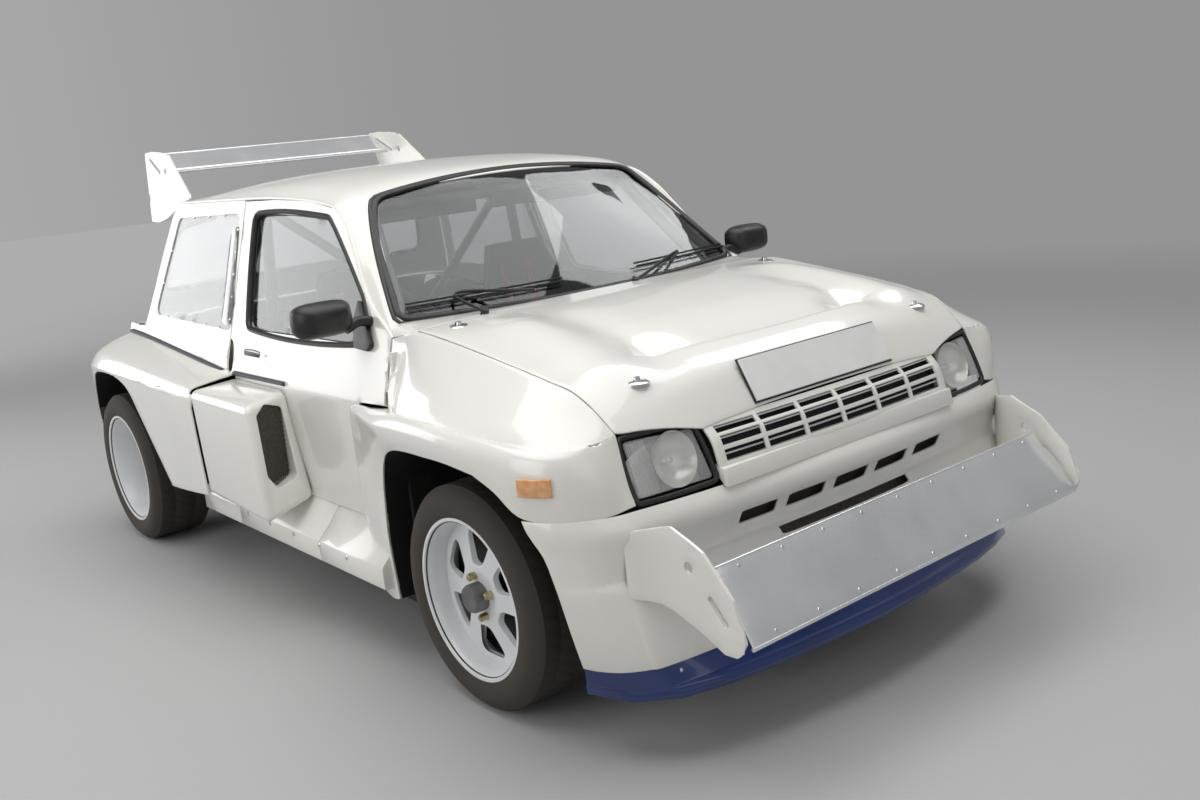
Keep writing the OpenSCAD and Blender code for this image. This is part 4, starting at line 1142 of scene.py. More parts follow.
@dataclass
class Door:
    """One door: skin, window, handle, air box and mirror."""

    side: Side
    skin_t: float = 6.0
    edge: Sequence[tuple[float, float]] = (
        (418, 753), (561, 758), (561, 934), (378, 1047), (222, 1230), (140, 1285), (-52, 1312), (-300, 1322),
        (-543, 1322), (-543, 756), (-481, 752), (-452, 398), (410, 398), (398, 560), (400, 657))
    window: Sequence[tuple[float, float]] = ((-463, 1284), (103, 1264), (378, 1036), (462, 908), (-419, 905))

    def build(self) -> None:
        """Make the door and what it carries."""
        w, body = self.side.word, "door_" + self.side.word
        settle(self.panel(), body, "body_white", "door_" + w)
        settle(self.glass(), body, "window_glass", "door_glass_" + w)
        settle(self.trim(), body, "black_trim")
        settle(self.air_box(), body, "body_white", "air_box_" + w)
        settle(self.mirror(), body, "black_trim", "door_mirror_" + w)

    def at(self, x: float, z: float, out: float = 0.0) -> tuple[float, float, float]:
        """A point on the door's skin, moved outward."""
        return (x, (float(side_y(np.array([z]))[0]) + out) * self.side.value, z)

    def panel(self) -> bpy.types.Object:
        """The outer skin with its window and lock recess, and the inner trim panel.

        Returns:
            Skin, lining, hem and dish as one object.
        """
        w = self.side.word
        edge = [p for p in self.edge if p not in ((-543, 756),)]
        at = edge.index((-543, 1322)) + 1
        edge[at:at] = [(-543, 868)] + [(-543 + 46 * math.sin(a), 806 + 61 * math.cos(a))
                                       for a in np.linspace(0.12, math.pi - 0.12, 14)] + [(-543, 746)]
        pane = rounded(self.window, (40, 60, 60, 40, 40))
        skin_part = trimmed("door_skin", cabin_side, edge, PAINT, [pane], 26, side=self.side,
                            thick=self.skin_t,
                            edge=2.0)
        inner_edge = [(398, 765), (545, 785), (545, 890), (-530, 890), (-530, 760), (-470, 740),
                      (-445, 410), (398, 410)]
        lining = trimmed("door_lining", inner_side(44), inner_edge, BLACK_PLASTIC, (), 60, side=self.side,
                         thick=3,
                         edge=0)
        hem = tube("window_hem", self.loop(pane, -10), 9, PAINT, 8, True)
        dish = self.recess()
        return joined("door_panel_" + w, [skin_part, lining, hem, dish])

    def loop(self, outline: Outline, out: float) -> Grid:
        """An outline laid on the door's skin, moved outward."""
        return smooth_path([self.at(x, z, out) for x, z in outline], 22, True)

    def recess(self) -> bpy.types.Object:
        """Half-round dish at the rear edge, where the door is pulled.

        Returns:
            The dish.
        """
        rows = []
        for depth, grow in ((0, 1.0), (-7, 0.97), (-11, 0.85), (-12, 0.4), (-12, 0.02)):
            rows.append([(-543 + 50 * grow * math.sin(a), float(side_y(np.array([806.0]))[0]) + depth
                          - 0.26 * 61 * grow * math.cos(a), 806 + 61 * grow * math.cos(a))
                         for a in np.linspace(0, math.pi, 15)])
        return skin("handle_dish", [np.asarray(rows, float)], PAINT, self.side, 2.0, edge=0)

    def glass(self) -> bpy.types.Object:
        """The window pane."""
        pane = rounded([(x + (6 if x < 0 else -4) * -1, z) for x, z in self.window], 40)
        return trimmed("door_pane_" + self.side.word, inner_side(13), pane, GLASS, (), 70, side=self.side,
                       thick=4,
                       edge=0)

    def trim(self) -> bpy.types.Object:
        """Window seal, rubber strip, flap handle and lock.

        Returns:
            Seal, strip, handle and lock as one object.
        """
        pane = rounded(self.window, (40, 60, 60, 40, 40))
        seal = tube("window_seal", self.loop(pane, -2), 14, RUBBER, 8, True, 0.8)
        strip = tube("side_strip", smooth_path([self.at(x, 758, 5) for x in np.linspace(-480, -80, 12)],
                                               40), 13,
                     GREY_RUBBER, 10, flat=0.6)
        flap = prism("handle_flap", rounded([(-411, 803), (-290, 803), (-282, 836), (-411, 838)], 7), 1,
                     734, 745,
                     BLACK_PLASTIC, 2)
        rim = tube("handle_rim", smooth_path([(x, 739, z) for x, z in rounded(
            [(-415, 799), (-286, 799), (-278, 840), (-415, 842)], 9)], 8, True), 2.2, RUBBER, 6, True)
        lock = lathe("lock", [(0, 3), (9, 3), (12, 5), (15, 3), (15, -4), (0, -4)], (-238, 741, 822), CHROME,
                     (0, 1, 0.25), 24, False)
        made = [flap, rim, lock]
        if self.side is Side.RIGHT:
            for piece in made:
                piece.data.transform(Matrix.Diagonal((1, -1, 1, 1)))
                piece.data.flip_normals()
        return joined("door_trim_" + self.side.word, [seal, strip, *made])

    def air_box(self) -> bpy.types.Object:
        """Intake box behind the door's middle, open in front behind a mesh.

        Returns:
            Box, mesh and back wall (a near-black wall of painted shade) as one object.
        """
        s, w = self.side.value, self.side.word
        front = [(-88, 758, 741), (1, 930, 726), (21, 930, 353), (11, 758, 397)]
        back = [(-478, 758, 744), (-478, 932, 732), (-449, 932, 376), (-449, 758, 398)]
        verts = [(x, y * s, z) for x, y, z in front + back]
        faces = [(0, 1, 2, 3), (7, 6, 5, 4), (0, 4, 5, 1), (1, 5, 6, 2), (2, 6, 7, 3), (3, 7, 4, 0)]
        box = fix_normals(mesh_object("air_box", verts, faces, PAINT, 0))
        soften(box, 24, 30, 6)
        hole = rounded([(792 * s, 694), (858 * s, 719), (897 * s, 692), (900 * s, 500), (868 * s, 452),
                        (798 * s, 474)],
                       22)
        cut(box, prism("box_mouth", hole, 0, -200, 200, SHADE_BLACK))
        soften(box, 3, 45, 2)
        mesh = self.mesh_panel([(y + (4 if y * s > 850 else -4) * s, z) for y, z in hole])
        # Near-black wall behind the mouth: painted shade inside the box.
        back_wall = prism("box_dark", [(790 * s, 440), (905 * s, 440), (905 * s, 725), (790 * s, 725)], 0,
                          -150, -140,
                          SHADE_BLACK)
        return joined("air_intake_" + w, [box, mesh, back_wall])

    def mesh_panel(self, outline: Sequence[tuple[float, float]]) -> bpy.types.Object:
        """Woven mesh just inside the air box's mouth.

        Args:
            outline: The mouth's outline.

        Returns:
            Wires and plate as one object.
        """
        s = self.side.value
        wires = []
        pitch = 9.0
        low, high = 780.0, 920.0
        shape = np.asarray(outline, float)
        for k in range(-40, 60):
            for slope in (-1, 1):
                t = np.linspace(430, 740, 120)
                y = s * (low + (high - low) / 2 + slope * (t - 585) * 0.6 + k * pitch - 90)
                points = np.stack([y, t], 1)
                keep = inside(points, shape)
                runs = np.flatnonzero(keep)
                if len(runs) < 4:
                    continue
                points = points[runs[0]:runs[-1] + 1:6]
                if len(points) < 2:
                    continue
                x = -38 + (np.abs(points[:, 0]) - 850) * 0.52
                wires.append(tube("wire", np.stack([x, points[:, 0], points[:, 1]], 1), 1.3, GRILLE_MESH, 4))
        plate = prism("mesh_back", outline, 0, -75, -72, GRILLE_MESH)
        return joined("mesh", [*wires, plate])

    def mirror(self) -> bpy.types.Object:
        """Housing on its arm, with the triangular foot.

        Returns:
            Housing, face, arm and foot as one object.
        """
        s = self.side.value
        low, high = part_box("door_mirror_" + self.side.word)
        top = high[2] / MM
        y_out = max(abs(low[1]), abs(high[1])) / MM
        x_mid = 0.5 * (low[0] + high[0]) / MM
        shell = []
        for t, grow in ((0, 0.80), (14, 0.97), (40, 1.0), (66, 0.86), (84, 0.62), (90, 0.30)):
            shell.append([(x_mid - 38 + t, (y_out - 92 + 88 * grow * c), top - 54 + 50 * grow * d)
                          for c, d in self.squircle(28)])
        rows = np.asarray(shell, float) * np.array([1, s, 1])
        verts = rows.reshape(-1, 3)
        faces = grid_faces(6, 28, False, True) + [tuple(reversed(range(28))), tuple(range(140, 168))]
        housing = fix_normals(mesh_object("housing", verts, faces, BLACK_PLASTIC, 40))
        mirror_face = [(x_mid - 39, (y_out - 92 + 78 * c) * s, top - 54 + 42 * d) for c,
                       d in self.squircle(28)]
        face = mesh_object("mirror_face", mirror_face, [tuple(range(28))], CHROME, 0)
        arm = tube("mirror_arm", smooth_path([(x_mid + 10, (y_out - 150) * s, top - 92), (x_mid + 8,
                                                                                          745 * s, 985),
                                              self.at(x_mid - 6, 975, -2)], 12), 15, BLACK_PLASTIC, 12)
        foot = trimmed("mirror_foot", lambda x, z: np.stack([x, side_y(z) + 9, z], 1),
                       rounded([(368, 1044), (478, 912), (452, 896), (380, 900), (356, 965)], 14),
                       BLACK_PLASTIC, (), 20,
                       side=self.side, thick=12, edge=3)
        return joined("wing_mirror_" + self.side.word, [housing, face, arm, foot])

    @staticmethod
    def squircle(count: int) -> list[tuple[float, float]]:
        """Points of a rounded square of half size 1.

        Args:
            count: How many points.

        Returns:
            The points.
        """
        out = []
        for a in np.linspace(0, 2 * math.pi, count, endpoint=False):
            c, d = math.cos(a), math.sin(a)
            out.append((math.copysign(abs(c) ** 0.55, c), math.copysign(abs(d) ** 0.55, d)))
        return out


@dataclass
class FrontWing:
    """One front wing with its flare, arch lip and front corner."""

    side: Side
    sheet_t: float = 5.0
    top: Sequence[Sequence[Sequence[float]]] = (
        ((565, 702, 936), (568, 719, 880), (574, 736, 830), (580, 748, 795), (586, 757, 751)),
        ((612, 699, 946), (616, 719, 890), (620, 737, 838), (624, 751, 800), (628, 762, 758)),
        ((690, 694, 960), (700, 728, 905), (700, 760, 850), (700, 787, 805), (700, 806, 763)),
        ((850, 690, 940), (850, 735, 890), (850, 775, 842), (850, 804, 800), (850, 828, 768)),
        ((1000, 690, 917), (1000, 740, 872), (1000, 785, 830), (1000, 821, 795), (1000, 843, 770)),
        ((1176, 690, 888), (1176, 740, 850), (1176, 788, 815), (1176, 825, 788), (1176, 845, 768)),
        ((1250, 688, 873), (1250, 736, 840), (1250, 784, 808), (1250, 820, 785), (1250, 841, 766)),
        ((1323, 683, 856), (1323, 728, 828), (1323, 772, 802), (1323, 808, 780), (1323, 832, 762)),
        ((1375, 677, 826), (1380, 712, 806), (1386, 752, 786), (1390, 785, 770), (1392, 812, 757)),
        ((1410, 672, 797), (1418, 698, 784), (1424, 728, 772), (1428, 752, 763), (1430, 775, 757)),
        ((1441, 667, 766), (1441, 680, 765), (1441, 694, 764), (1441, 706, 762), (1441, 720, 760)))
    flare: Sequence[Sequence[Sequence[float]]] = (
        ((470, 785, 200), (500, 792, 200), (530, 797, 200), (556, 800, 203), (574, 800, 208)),
        ((416, 788, 407), (460, 795, 403), (505, 800, 398), (545, 804, 390), (566, 804, 380)),
        ((411, 789, 560), (458, 797, 555), (505, 803, 545), (548, 807, 520), (577, 806, 477)),
        ((414, 790, 657), (462, 800, 650), (515, 810, 632), (562, 815, 600), (600, 812, 562)),
        ((431, 790, 747), (490, 812, 738), (560, 828, 715), (620, 834, 680), (655, 828, 640)),
        ((565, 792, 751), (605, 828, 752), (660, 850, 738), (710, 856, 710), (740, 850, 681)),
        ((700, 806, 763), (730, 843, 768), (770, 864, 755), (808, 870, 727), (835, 866, 697)),
        ((850, 828, 768), (872, 858, 775), (900, 876, 760), (925, 880, 730), (948, 876, 702)),
        ((1000, 843, 770), (1008, 866, 776), (1020, 882, 760), (1035, 885, 730), (1050, 880, 703)),
        ((1176, 845, 768), (1176, 866, 770), (1176, 881, 747), (1176, 884, 720), (1176, 880, 693)))
    corner: Sequence[Sequence[Sequence[float]]] = (
        ((1176, 845, 768), (1176, 866, 770), (1176, 881, 747), (1176, 884, 720), (1176, 880, 693)),
        ((1250, 841, 766), (1250, 863, 762), (1250, 877, 738), (1250, 880, 700), (1250, 874, 662)),
        ((1323, 832, 762), (1323, 856, 752), (1323, 870, 722), (1323, 873, 672), (1323, 866, 616)),
        ((1392, 812, 757), (1395, 832, 742), (1400, 842, 705), (1400, 844, 655), (1398, 840, 606)),
        ((1430, 775, 757), (1436, 790, 740), (1444, 798, 705), (1448, 800, 655), (1448, 797, 606)),
        ((1441, 720, 760), (1450, 732, 742), (1466, 738, 705), (1478, 740, 655), (1482, 738, 608)),
        ((1441, 667, 766), (1449, 669, 742), (1463, 671, 705), (1482, 673, 655), (1498, 675, 617)))

    def build(self) -> None:
        """Make the wing, its liner and its repeater."""
        settle(self.panel(), "chassis", "body_white", "front_wings")
        settle(self.liner(), "chassis", "underbody_black")
        settle(self.repeater(), "chassis", "lamp_clear")

    def panel(self) -> bpy.types.Object:
        """Outer skin, continuous from the bonnet's seam to the arch.

        Returns:
            The skin.
        """
        shelf = np.array([[(431, 759, 741), (431, 790, 747)], [(500, 759, 741), (500, 791, 749)],
                          [(586, 757, 749), (586, 794, 752)], [(628, 762, 756), (628, 798, 756)],
                          [(700, 806, 763), (700, 806, 762)]], float)
        grids = [Patch(rows).even(5) for rows in (self.top, self.flare, self.corner)] + [Patch(shelf).even(5)]
        return skin("wing_" + self.side.word, grids, PAINT, self.side, self.sheet_t, weld=3.0)

    def liner(self) -> bpy.types.Object:
        """Near-black strip inside the arch: the lining's own dark colour together with painted shade.

        Returns:
            The strip.
        """
        edge = np.array([r[-1] for r in (*self.flare, *self.corner[1:4])], float)
        path = smooth_path(edge, 30)
        rows = np.stack([path - [0, d, 0] + [0, 0, -2.0 * (d > 0)] for d in (4, 30, 150, 400)])
        # Near-black strip running inward: the arch lining's dark colour and painted shade in the arch.
        return skin("arch_liner_" + self.side.word, [rows], SHADE_BLACK, self.side, 3.0, edge=0)

    def repeater(self) -> bpy.types.Object:
        """Amber lens on the front corner."""
        rows = [[(x, float(np.interp(x, [1347, 1392, 1440], [868, 846, 812])) + 9, z)
                 for x in (1347, 1370, 1392, 1418)] for z in (668, 689, 710)]
        return skin("repeater_" + self.side.word, [np.asarray(rows, float)], AMBER, self.side, 8.0, edge=2)


@dataclass
class Nose:
    """Bumper moulding, grille, lamps, spoiler plate and splitter."""

    bumper: Sequence[Sequence[Sequence[float]]] = (
        ((1332, 866, 606), (1398, 842, 606), (1450, 797, 606), (1486, 738, 606), (1502, 676, 606),
         (1532, 443, 606),
         (1548, 0, 606)),
        ((1345, 866, 585), (1404, 845, 585), (1456, 802, 585), (1494, 742, 585), (1514, 676, 585),
         (1548, 443, 585),
         (1566, 0, 585)),
        ((1360, 860, 560), (1408, 843, 560), (1460, 802, 560), (1498, 744, 560), (1520, 676, 560),
         (1552, 443, 560),
         (1570, 0, 560)),
        ((1385, 853, 522), (1418, 832, 522), (1462, 795, 522), (1492, 738, 522), (1506, 676, 522),
         (1532, 443, 522),
         (1549, 0, 522)),
        ((1400, 844, 458), (1428, 824, 458), (1464, 790, 458), (1486, 735, 458), (1490, 676, 458),
         (1508, 443, 458),
         (1523, 0, 458)),
        ((1406, 840, 430), (1436, 822, 430), (1472, 790, 430), (1498, 735, 430), (1506, 676, 430),
         (1527, 443, 430),
         (1541, 0, 430)),
        ((1407, 815, 322), (1446, 800, 322), (1486, 770, 322), (1518, 720, 322), (1534, 676, 322),
         (1556, 443, 322),
         (1567, 0, 322)),
        ((1399, 790, 243), (1444, 775, 243), (1490, 745, 243), (1525, 700, 243), (1545, 650, 243),
         (1570, 430, 243),
         (1582, 0, 243)))
    vents: int = 5

    def build(self) -> None:
        """Make everything ahead of the bonnet."""
        settle(self.moulding(), "chassis", "body_white", "front_bumper")
        settle(self.grille(), "chassis", "body_white", "grille")
        settle(joined("headlamp_units", [self.headlamp(s) for s in Side]), "chassis", "lamp_clear",
               "headlamps")
        settle(self.splitter(), "chassis", "splitter_blue", "splitter")
        settle(self.plate(), "chassis", "brushed_aluminium", "front_spoiler")
        settle(joined("spoiler_ends", [self.endplate(s) for s in Side]), "chassis", "body_white",
               "spoiler_endplates")

    def surface(self) -> Patch:
        """The bumper's surface across the whole car, rows from the top down.

        Returns:
            The surface.
        """
        rows = []
        for row in self.bumper:
            half = [list(p) for p in reversed(row)]
            rows.append([[x, -y, z] for x, y, z in reversed(half[1:])] + half)
        return Patch(rows)

    def moulding(self) -> bpy.types.Object:
        """The bumper with its cooling vents and long slot.

        Returns:
            Body and mesh as one object.
        """
        patch = self.surface()
        holes = []
        for k in range(self.vents):
            c = 6 + (k - (self.vents - 1) / 2) * 0.36
            holes.append(rounded([(2.72, c - 0.14), (2.72, c + 0.14), (3.38, c + 0.14), (3.38, c - 0.14)],
                                 0.06, 5))
        holes.append(rounded([(4.45, 5.46), (4.45, 6.54), (5.0, 6.54), (5.0, 5.46)], 0.08, 5))
        body = trimmed("bumper_skin", patch.at, [(0, 0), (0, 12), (7, 12), (7, 0)], PAINT, holes, 22,
                       (52, 150),
                       thick=5.0, turned=True)
        mesh = trimmed("bumper_mesh", lowered(patch, 26), [(2.4, 4.9), (2.4, 7.1), (5.15, 7.1), (5.15, 4.9)],
                       GRILLE_MESH, (), 40, (52, 150), thick=3, edge=0, turned=True)
        return joined("bumper", [body, mesh])

    def grille(self) -> bpy.types.Object:
        """White panel between the lamps, with three rows of slots.

        Returns:
            Panel, its near-black back of painted shade, shelf and slats as one object.
        """
        low, mid, top = (1546, 646), (1526, 711), (1491, 748)

        def surface(y: Grid, t: Grid) -> Grid:
            """Grille panel, gently bowed across the car."""
            x = np.interp(t, [0, 1, 2], [low[0], mid[0], top[0]]) + 14 * (1 - (y / 443) ** 2) - 10
            return np.stack([x, y, np.interp(t, [0, 1, 2], [low[1], mid[1], top[1]])], 1)

        holes = []
        for row in range(3):
            for k in range(-3, 3):
                y0, y1 = k * 140 + 6, k * 140 + 134
                t0 = 0.20 + row * 0.56
                holes.append(rounded([(y0, t0), (y1, t0), (y1, t0 + 0.40), (y0, t0 + 0.40)], 0.08, 4))
        panel = trimmed("grille_panel", surface, [(-441, 0), (441, 0), (441, 2), (-441, 2)], PAINT, holes, 24,
                        (1, 60), thick=6.0)
        # Near-black sheet behind the slots: painted shade inside the grille.
        back = trimmed("grille_dark", lambda y, t: surface(y, t) - np.array([34, 0, 0]),
                       [(-436, 0.04), (436, 0.04), (436, 1.9), (-436, 1.9)], SHADE_BLACK, (), 60, (1, 60),
                       thick=2,
                       edge=0)
        slats = [tube("slat", smooth_path(surface(np.linspace(-420, 420, 9), np.full(9, t)) - [12, 0, 0],
                                          60), 4,
                      WHEEL_PAINT, 8, flat=0.5) for t in (0.40, 0.96, 1.52)]
        shelf = prism("grille_shelf", [(1546, 606), (1558, 606), (1548, 650), (1500, 650)], 1, -441, 441,
                      PAINT, 3)
        return joined("grille_unit", [panel, back, shelf, *slats])

    def headlamp(self, s: Side) -> bpy.types.Object:
        """Clear fluted lens over a bright bowl, in a dark rubber frame.

        Args:
            s: The car's side.

        Returns:
            All parts of the lamp as one object.
        """
        corners = np.array([(1441, 662, 760), (1474, 460, 752), (1530, 446, 622), (1500, 670, 618)], float)

        def surface(u: Grid, v: Grid) -> Grid:
            """The lens plane over the unit square, slightly domed.

            Args:
                u: Places across the lens, 0 to 1.
                v: Places over its height, 0 to 1.

            Returns:
                The points.
            """
            flat = ((1 - u) * (1 - v))[:, None] * corners[0] + (u * (1 - v))[:, None] * corners[1] \
                + (u * v)[:, None] * corners[2] + ((1 - u) * v)[:, None] * corners[3]
            dome = 4 * u * (1 - u) * 4 * v * (1 - v)
            return flat + dome[:, None] * np.array([9.0, 0, 4.0])

        frame = rounded([(0.0, 0.0), (1, 0.0), (1, 1), (0.0, 1)], 0.07, 6)
        lens_edge = rounded([(0.05, 0.07), (0.95, 0.07), (0.95, 0.93), (0.05, 0.93)], 0.06, 6)
        lens = trimmed("lens", surface, lens_edge, LENS, (), 14, (205, 140), side=s, thick=4, edge=0)
        case = trimmed("lamp_case", lambda u, v: surface(u, v) - np.array([58.0, 0, 10]), frame, REFLECTOR,
                       (), 40,
                       (205, 140), side=s, thick=3, edge=0)
        seal = tube("lamp_seal", smooth_path(np.asarray(surface(*np.asarray(frame, float).T)) * [1, s.value,
                                                                                                 1], 12,
                                             True), 7, RUBBER, 8, True)
        middle = surface(np.array([0.60]), np.array([0.5]))[0] * np.array([1, s.value, 1])
        bowl = lathe("bowl", [(66, -6), (58, -26), (36, -44), (14, -50), (0, -51)], tuple(middle), REFLECTOR,
                     (1, 0, 0.28), 36, False)
        bulb = lathe("bulb", [(0, -20), (8, -24), (9, -36), (9, -50)], tuple(middle), CHROME, (1, 0, 0.28),
                     16, False)
        flutes = []
        for k in range(9):
            u = np.full(8, 0.07 + k * 0.026)
            points = surface(u, np.linspace(0.10, 0.90, 8)) * np.array([1, s.value, 1])
            flutes.append(tube("flute", points + [1.5, 0, 0.5], 2.0, LENS, 5))
        return joined("headlamp_" + s.word, [lens, case, seal, bowl, bulb, *flutes])

    def splitter(self) -> bpy.types.Object:
        """Dark blue skirt turning out into a flat lip.

        Returns:
            Body and screws as one object.
        """
        half = (
            ((1399, 788, 241), (1444, 773, 241), (1490, 743, 241), (1525, 698, 241), (1545, 650, 241),
             (1570, 430, 241), (1582, 0, 241)),
            ((1390, 780, 200), (1446, 768, 200), (1500, 735, 200), (1545, 680, 200), (1570, 600, 200),
             (1600, 420, 200), (1625, 0, 200)),
            ((1376, 772, 187), (1450, 752, 187), (1513, 721, 187), (1556, 660, 187), (1578, 609, 187),
             (1616, 420, 187), (1643, 0, 187)),
            ((1376, 770, 165), (1448, 750, 165), (1511, 719, 165), (1554, 658, 165), (1576, 607, 165),
             (1614, 419, 165), (1641, 0, 165)),
            ((1340, 740, 166), (1400, 715, 166), (1450, 680, 166), (1490, 620, 166), (1515, 560, 166),
             (1540, 400, 166), (1560, 0, 166)))
        rows = []
        for row in half:
            r = [list(p) for p in reversed(row)]
            rows.append([[x, -y, z] for x, y, z in reversed(r[1:])] + r)
        body = skin("splitter_skin", [np.asarray(Patch(rows).sampled(60, 16))], SPLITTER_BLUE, thick=4.0,
                    edge=0)
        screws = []
        for y in range(-630, 631, 140):
            x = float(np.interp(abs(y), [0, 420, 600, 680], [1604, 1586, 1560, 1538]))
            screws.append(lathe("skirt_screw", [(0, 5), (7, 4), (9, 0), (9, -8)], (x, y, 222), CHROME,
                                (1, 0, 0.3), 12, False))
        return joined("splitter_unit", [body, *screws])

    def plate(self) -> bpy.types.Object:
        """Bare sheet spoiler with folded edges and rivets.

        Returns:
            Sheet, folds and rivets as one object.
        """
        top, low = np.array([1680.0, 0, 494]), np.array([1796.0, 0, 345])

        def surface(y: Grid, t: Grid) -> Grid:
            """The plate's plane; t runs down it.

            Args:
                y: Places across, as a share of half the width.
                t: Places down the plate.

            Returns:
                The points.
            """
            half = 622 + 19 * t
            p = top + t[:, None] * (low - top)
            return np.stack([p[:, 0], y * half, p[:, 2]], 1)

        body = trimmed("spoiler_plate", surface, [(-1, 0), (1, 0), (1, 1), (-1, 1)], ALLOY, (), 60,
                       (620, 190),
                       thick=4.0)
        folds = [tube("fold", smooth_path([(p[0], y, p[2]) for y in np.linspace(-h, h, 9)], 120), 5, ALLOY, 8)
                 for p, h in ((top, 622), (low, 641))]
        rivets = [lathe("rivet", [(0, 4), (4, 3), (6, 0), (6, -4)],
                        tuple((top + t * (low - top)) + np.array([2, y, 2])), CHROME, (0.79, 0, 0.61), 10,
                        False)
                  for t in (0.08, 0.92) for y in range(-560, 561, 140)]
        return joined("front_spoiler_plate", [body, *folds, *rivets])

    def endplate(self, s: Side) -> bpy.types.Object:
        """Side plate that carries the spoiler, with a slot and a hole.

        Args:
            s: The car's side.

        Returns:
            The side plate.
        """
        outline = rounded([(1500, 568), (1594, 585), (1686, 542), (1770, 455), (1799, 365), (1774, 327),
                           (1733, 324),
                           (1560, 400), (1500, 415)], 14)
        slot = rounded([(1690, 440), (1742, 385), (1754, 396), (1702, 451)], 6)
        hole = [(1640 + 13 * math.cos(a), 500 + 13 * math.sin(a)) for a in np.linspace(0, 2 * math.pi,
                                                                                       20)[:-1]]

        def surface(x: Grid, z: Grid) -> Grid:
            """The plate, curved in towards the car at its rear."""
            y = hermite(np.array([1500.0, 1530, 1570, 1620, 1800]), np.array([720.0, 688, 664, 656, 656]), x)
            return np.stack([x, y, z], 1)

        return trimmed("spoiler_end_" + s.word, surface, outline, PAINT, [slot, hole], 22, side=s, thick=8.0,
                       edge=2.0)


@dataclass
class Bonnet:
    """Bonnet skin with its pins, vent and blank plate."""

    plate_size: tuple[float, float] = (520.0, 111.0)

    def build(self) -> None:
        """Make the bonnet."""
        settle(joined("bonnet_unit", [self.panel(), self.plate(), self.vent(), *self.pins()]), "bonnet",
               "body_white", "bonnet")

    def panel(self) -> bpy.types.Object:
        """The skin, seam to seam.

        Returns:
            The skin.
        """
        xs = np.linspace(693, 1488, 110)
        rows = []
        for x in xs:
            seam = float(hermite(SEAM_X, SEAM_Y, np.array([x]))[0]) - 2.5
            limit = seam if x < 1440 else np.interp(x, [1440, 1488], [seam, 446.0])
            y = np.linspace(-limit, limit, 90)
            rows.append(bonnet_surface(np.full(90, x), y))
        return skin("bonnet_skin", [np.asarray(rows)], PAINT, thick=5.0)

    def plate(self) -> bpy.types.Object:
        """Blank white plate with a thin dark border on the sloping front.

        Returns:
            Plate and border as one object.
        """
        w, h = self.plate_size
        parts = []
        for grow, lift, finish in ((0, 7, PLATE_WHITE), (4, 4, RUBBER)):
            corners = []
            for y, t in ((-w / 2 - grow, -grow), (w / 2 + grow, -grow), (w / 2 + grow, h + grow),
                         (-w / 2 - grow, h + grow)):
                corners.append((1432 + lift + t * 0.50, y, 856 + lift * 0.7 - t * 0.866))
            verts = corners + [(x - 4, y, z - 3) for x, y, z in corners]
            faces = [(0, 1, 2, 3), (7, 6, 5, 4), (0, 4, 5, 1), (1, 5, 6, 2), (2, 6, 7, 3), (3, 7, 4, 0)]
            part = fix_normals(mesh_object("number_plate", verts, faces, finish, 0))
            soften(part, 1.0, 40, 1)
            parts.append(part)
        return joined("front_plate", parts)

    def vent(self) -> bpy.types.Object:
        """Mesh over the opening in front of the screen, with painted shade on a near-black sheet under it.

        Returns:
            All its parts as one object.
        """
        parts = []
        for k in range(16):
            x = 874 + k * 8
            y = np.linspace(66, 198, 8)
            parts.append(tube("vent_wire", bonnet_surface(np.full(8, float(x)), y) + [0, 0, 3], 1.6,
                              DARK_METAL, 5))
        for k in range(14):
            y = 70 + k * 9.7
            x = np.linspace(872, 996, 6)
            parts.append(tube("vent_wire", bonnet_surface(x, np.full(6, y)) + [0, 0, 3], 1.6, DARK_METAL, 5))
        # Near-black sheet under the wires, just above the skin: painted shade in the opening.
        parts.append(trimmed("vent_floor", lambda x, y: bonnet_surface(x, y) + [0, 0, 1.5],
                             rounded([(868, 62), (1000, 62), (1000, 202), (868, 202)], 8), SHADE_BLACK, (), 22,
                             thick=1.5, edge=0))
        return joined("bonnet_vent", parts)

    def pins(self) -> list[bpy.types.Object]:
        """Four quick-release pins.

        Returns:
            The pins.
        """
        made = []
        for x, y in ((1375, 530), (1375, -530), (742, 600), (742, -600)):
            z = float(bonnet_surface(np.array([x], float), np.array([y], float))[0, 2])
            made.append(lathe("pin", [(0, 16), (7, 15), (8, 7), (22, 7), (30, 2), (30, -4), (0, -4)],
                              (x, y, z),
                              CHROME, (0, 0, 1), 24, False))
        return made


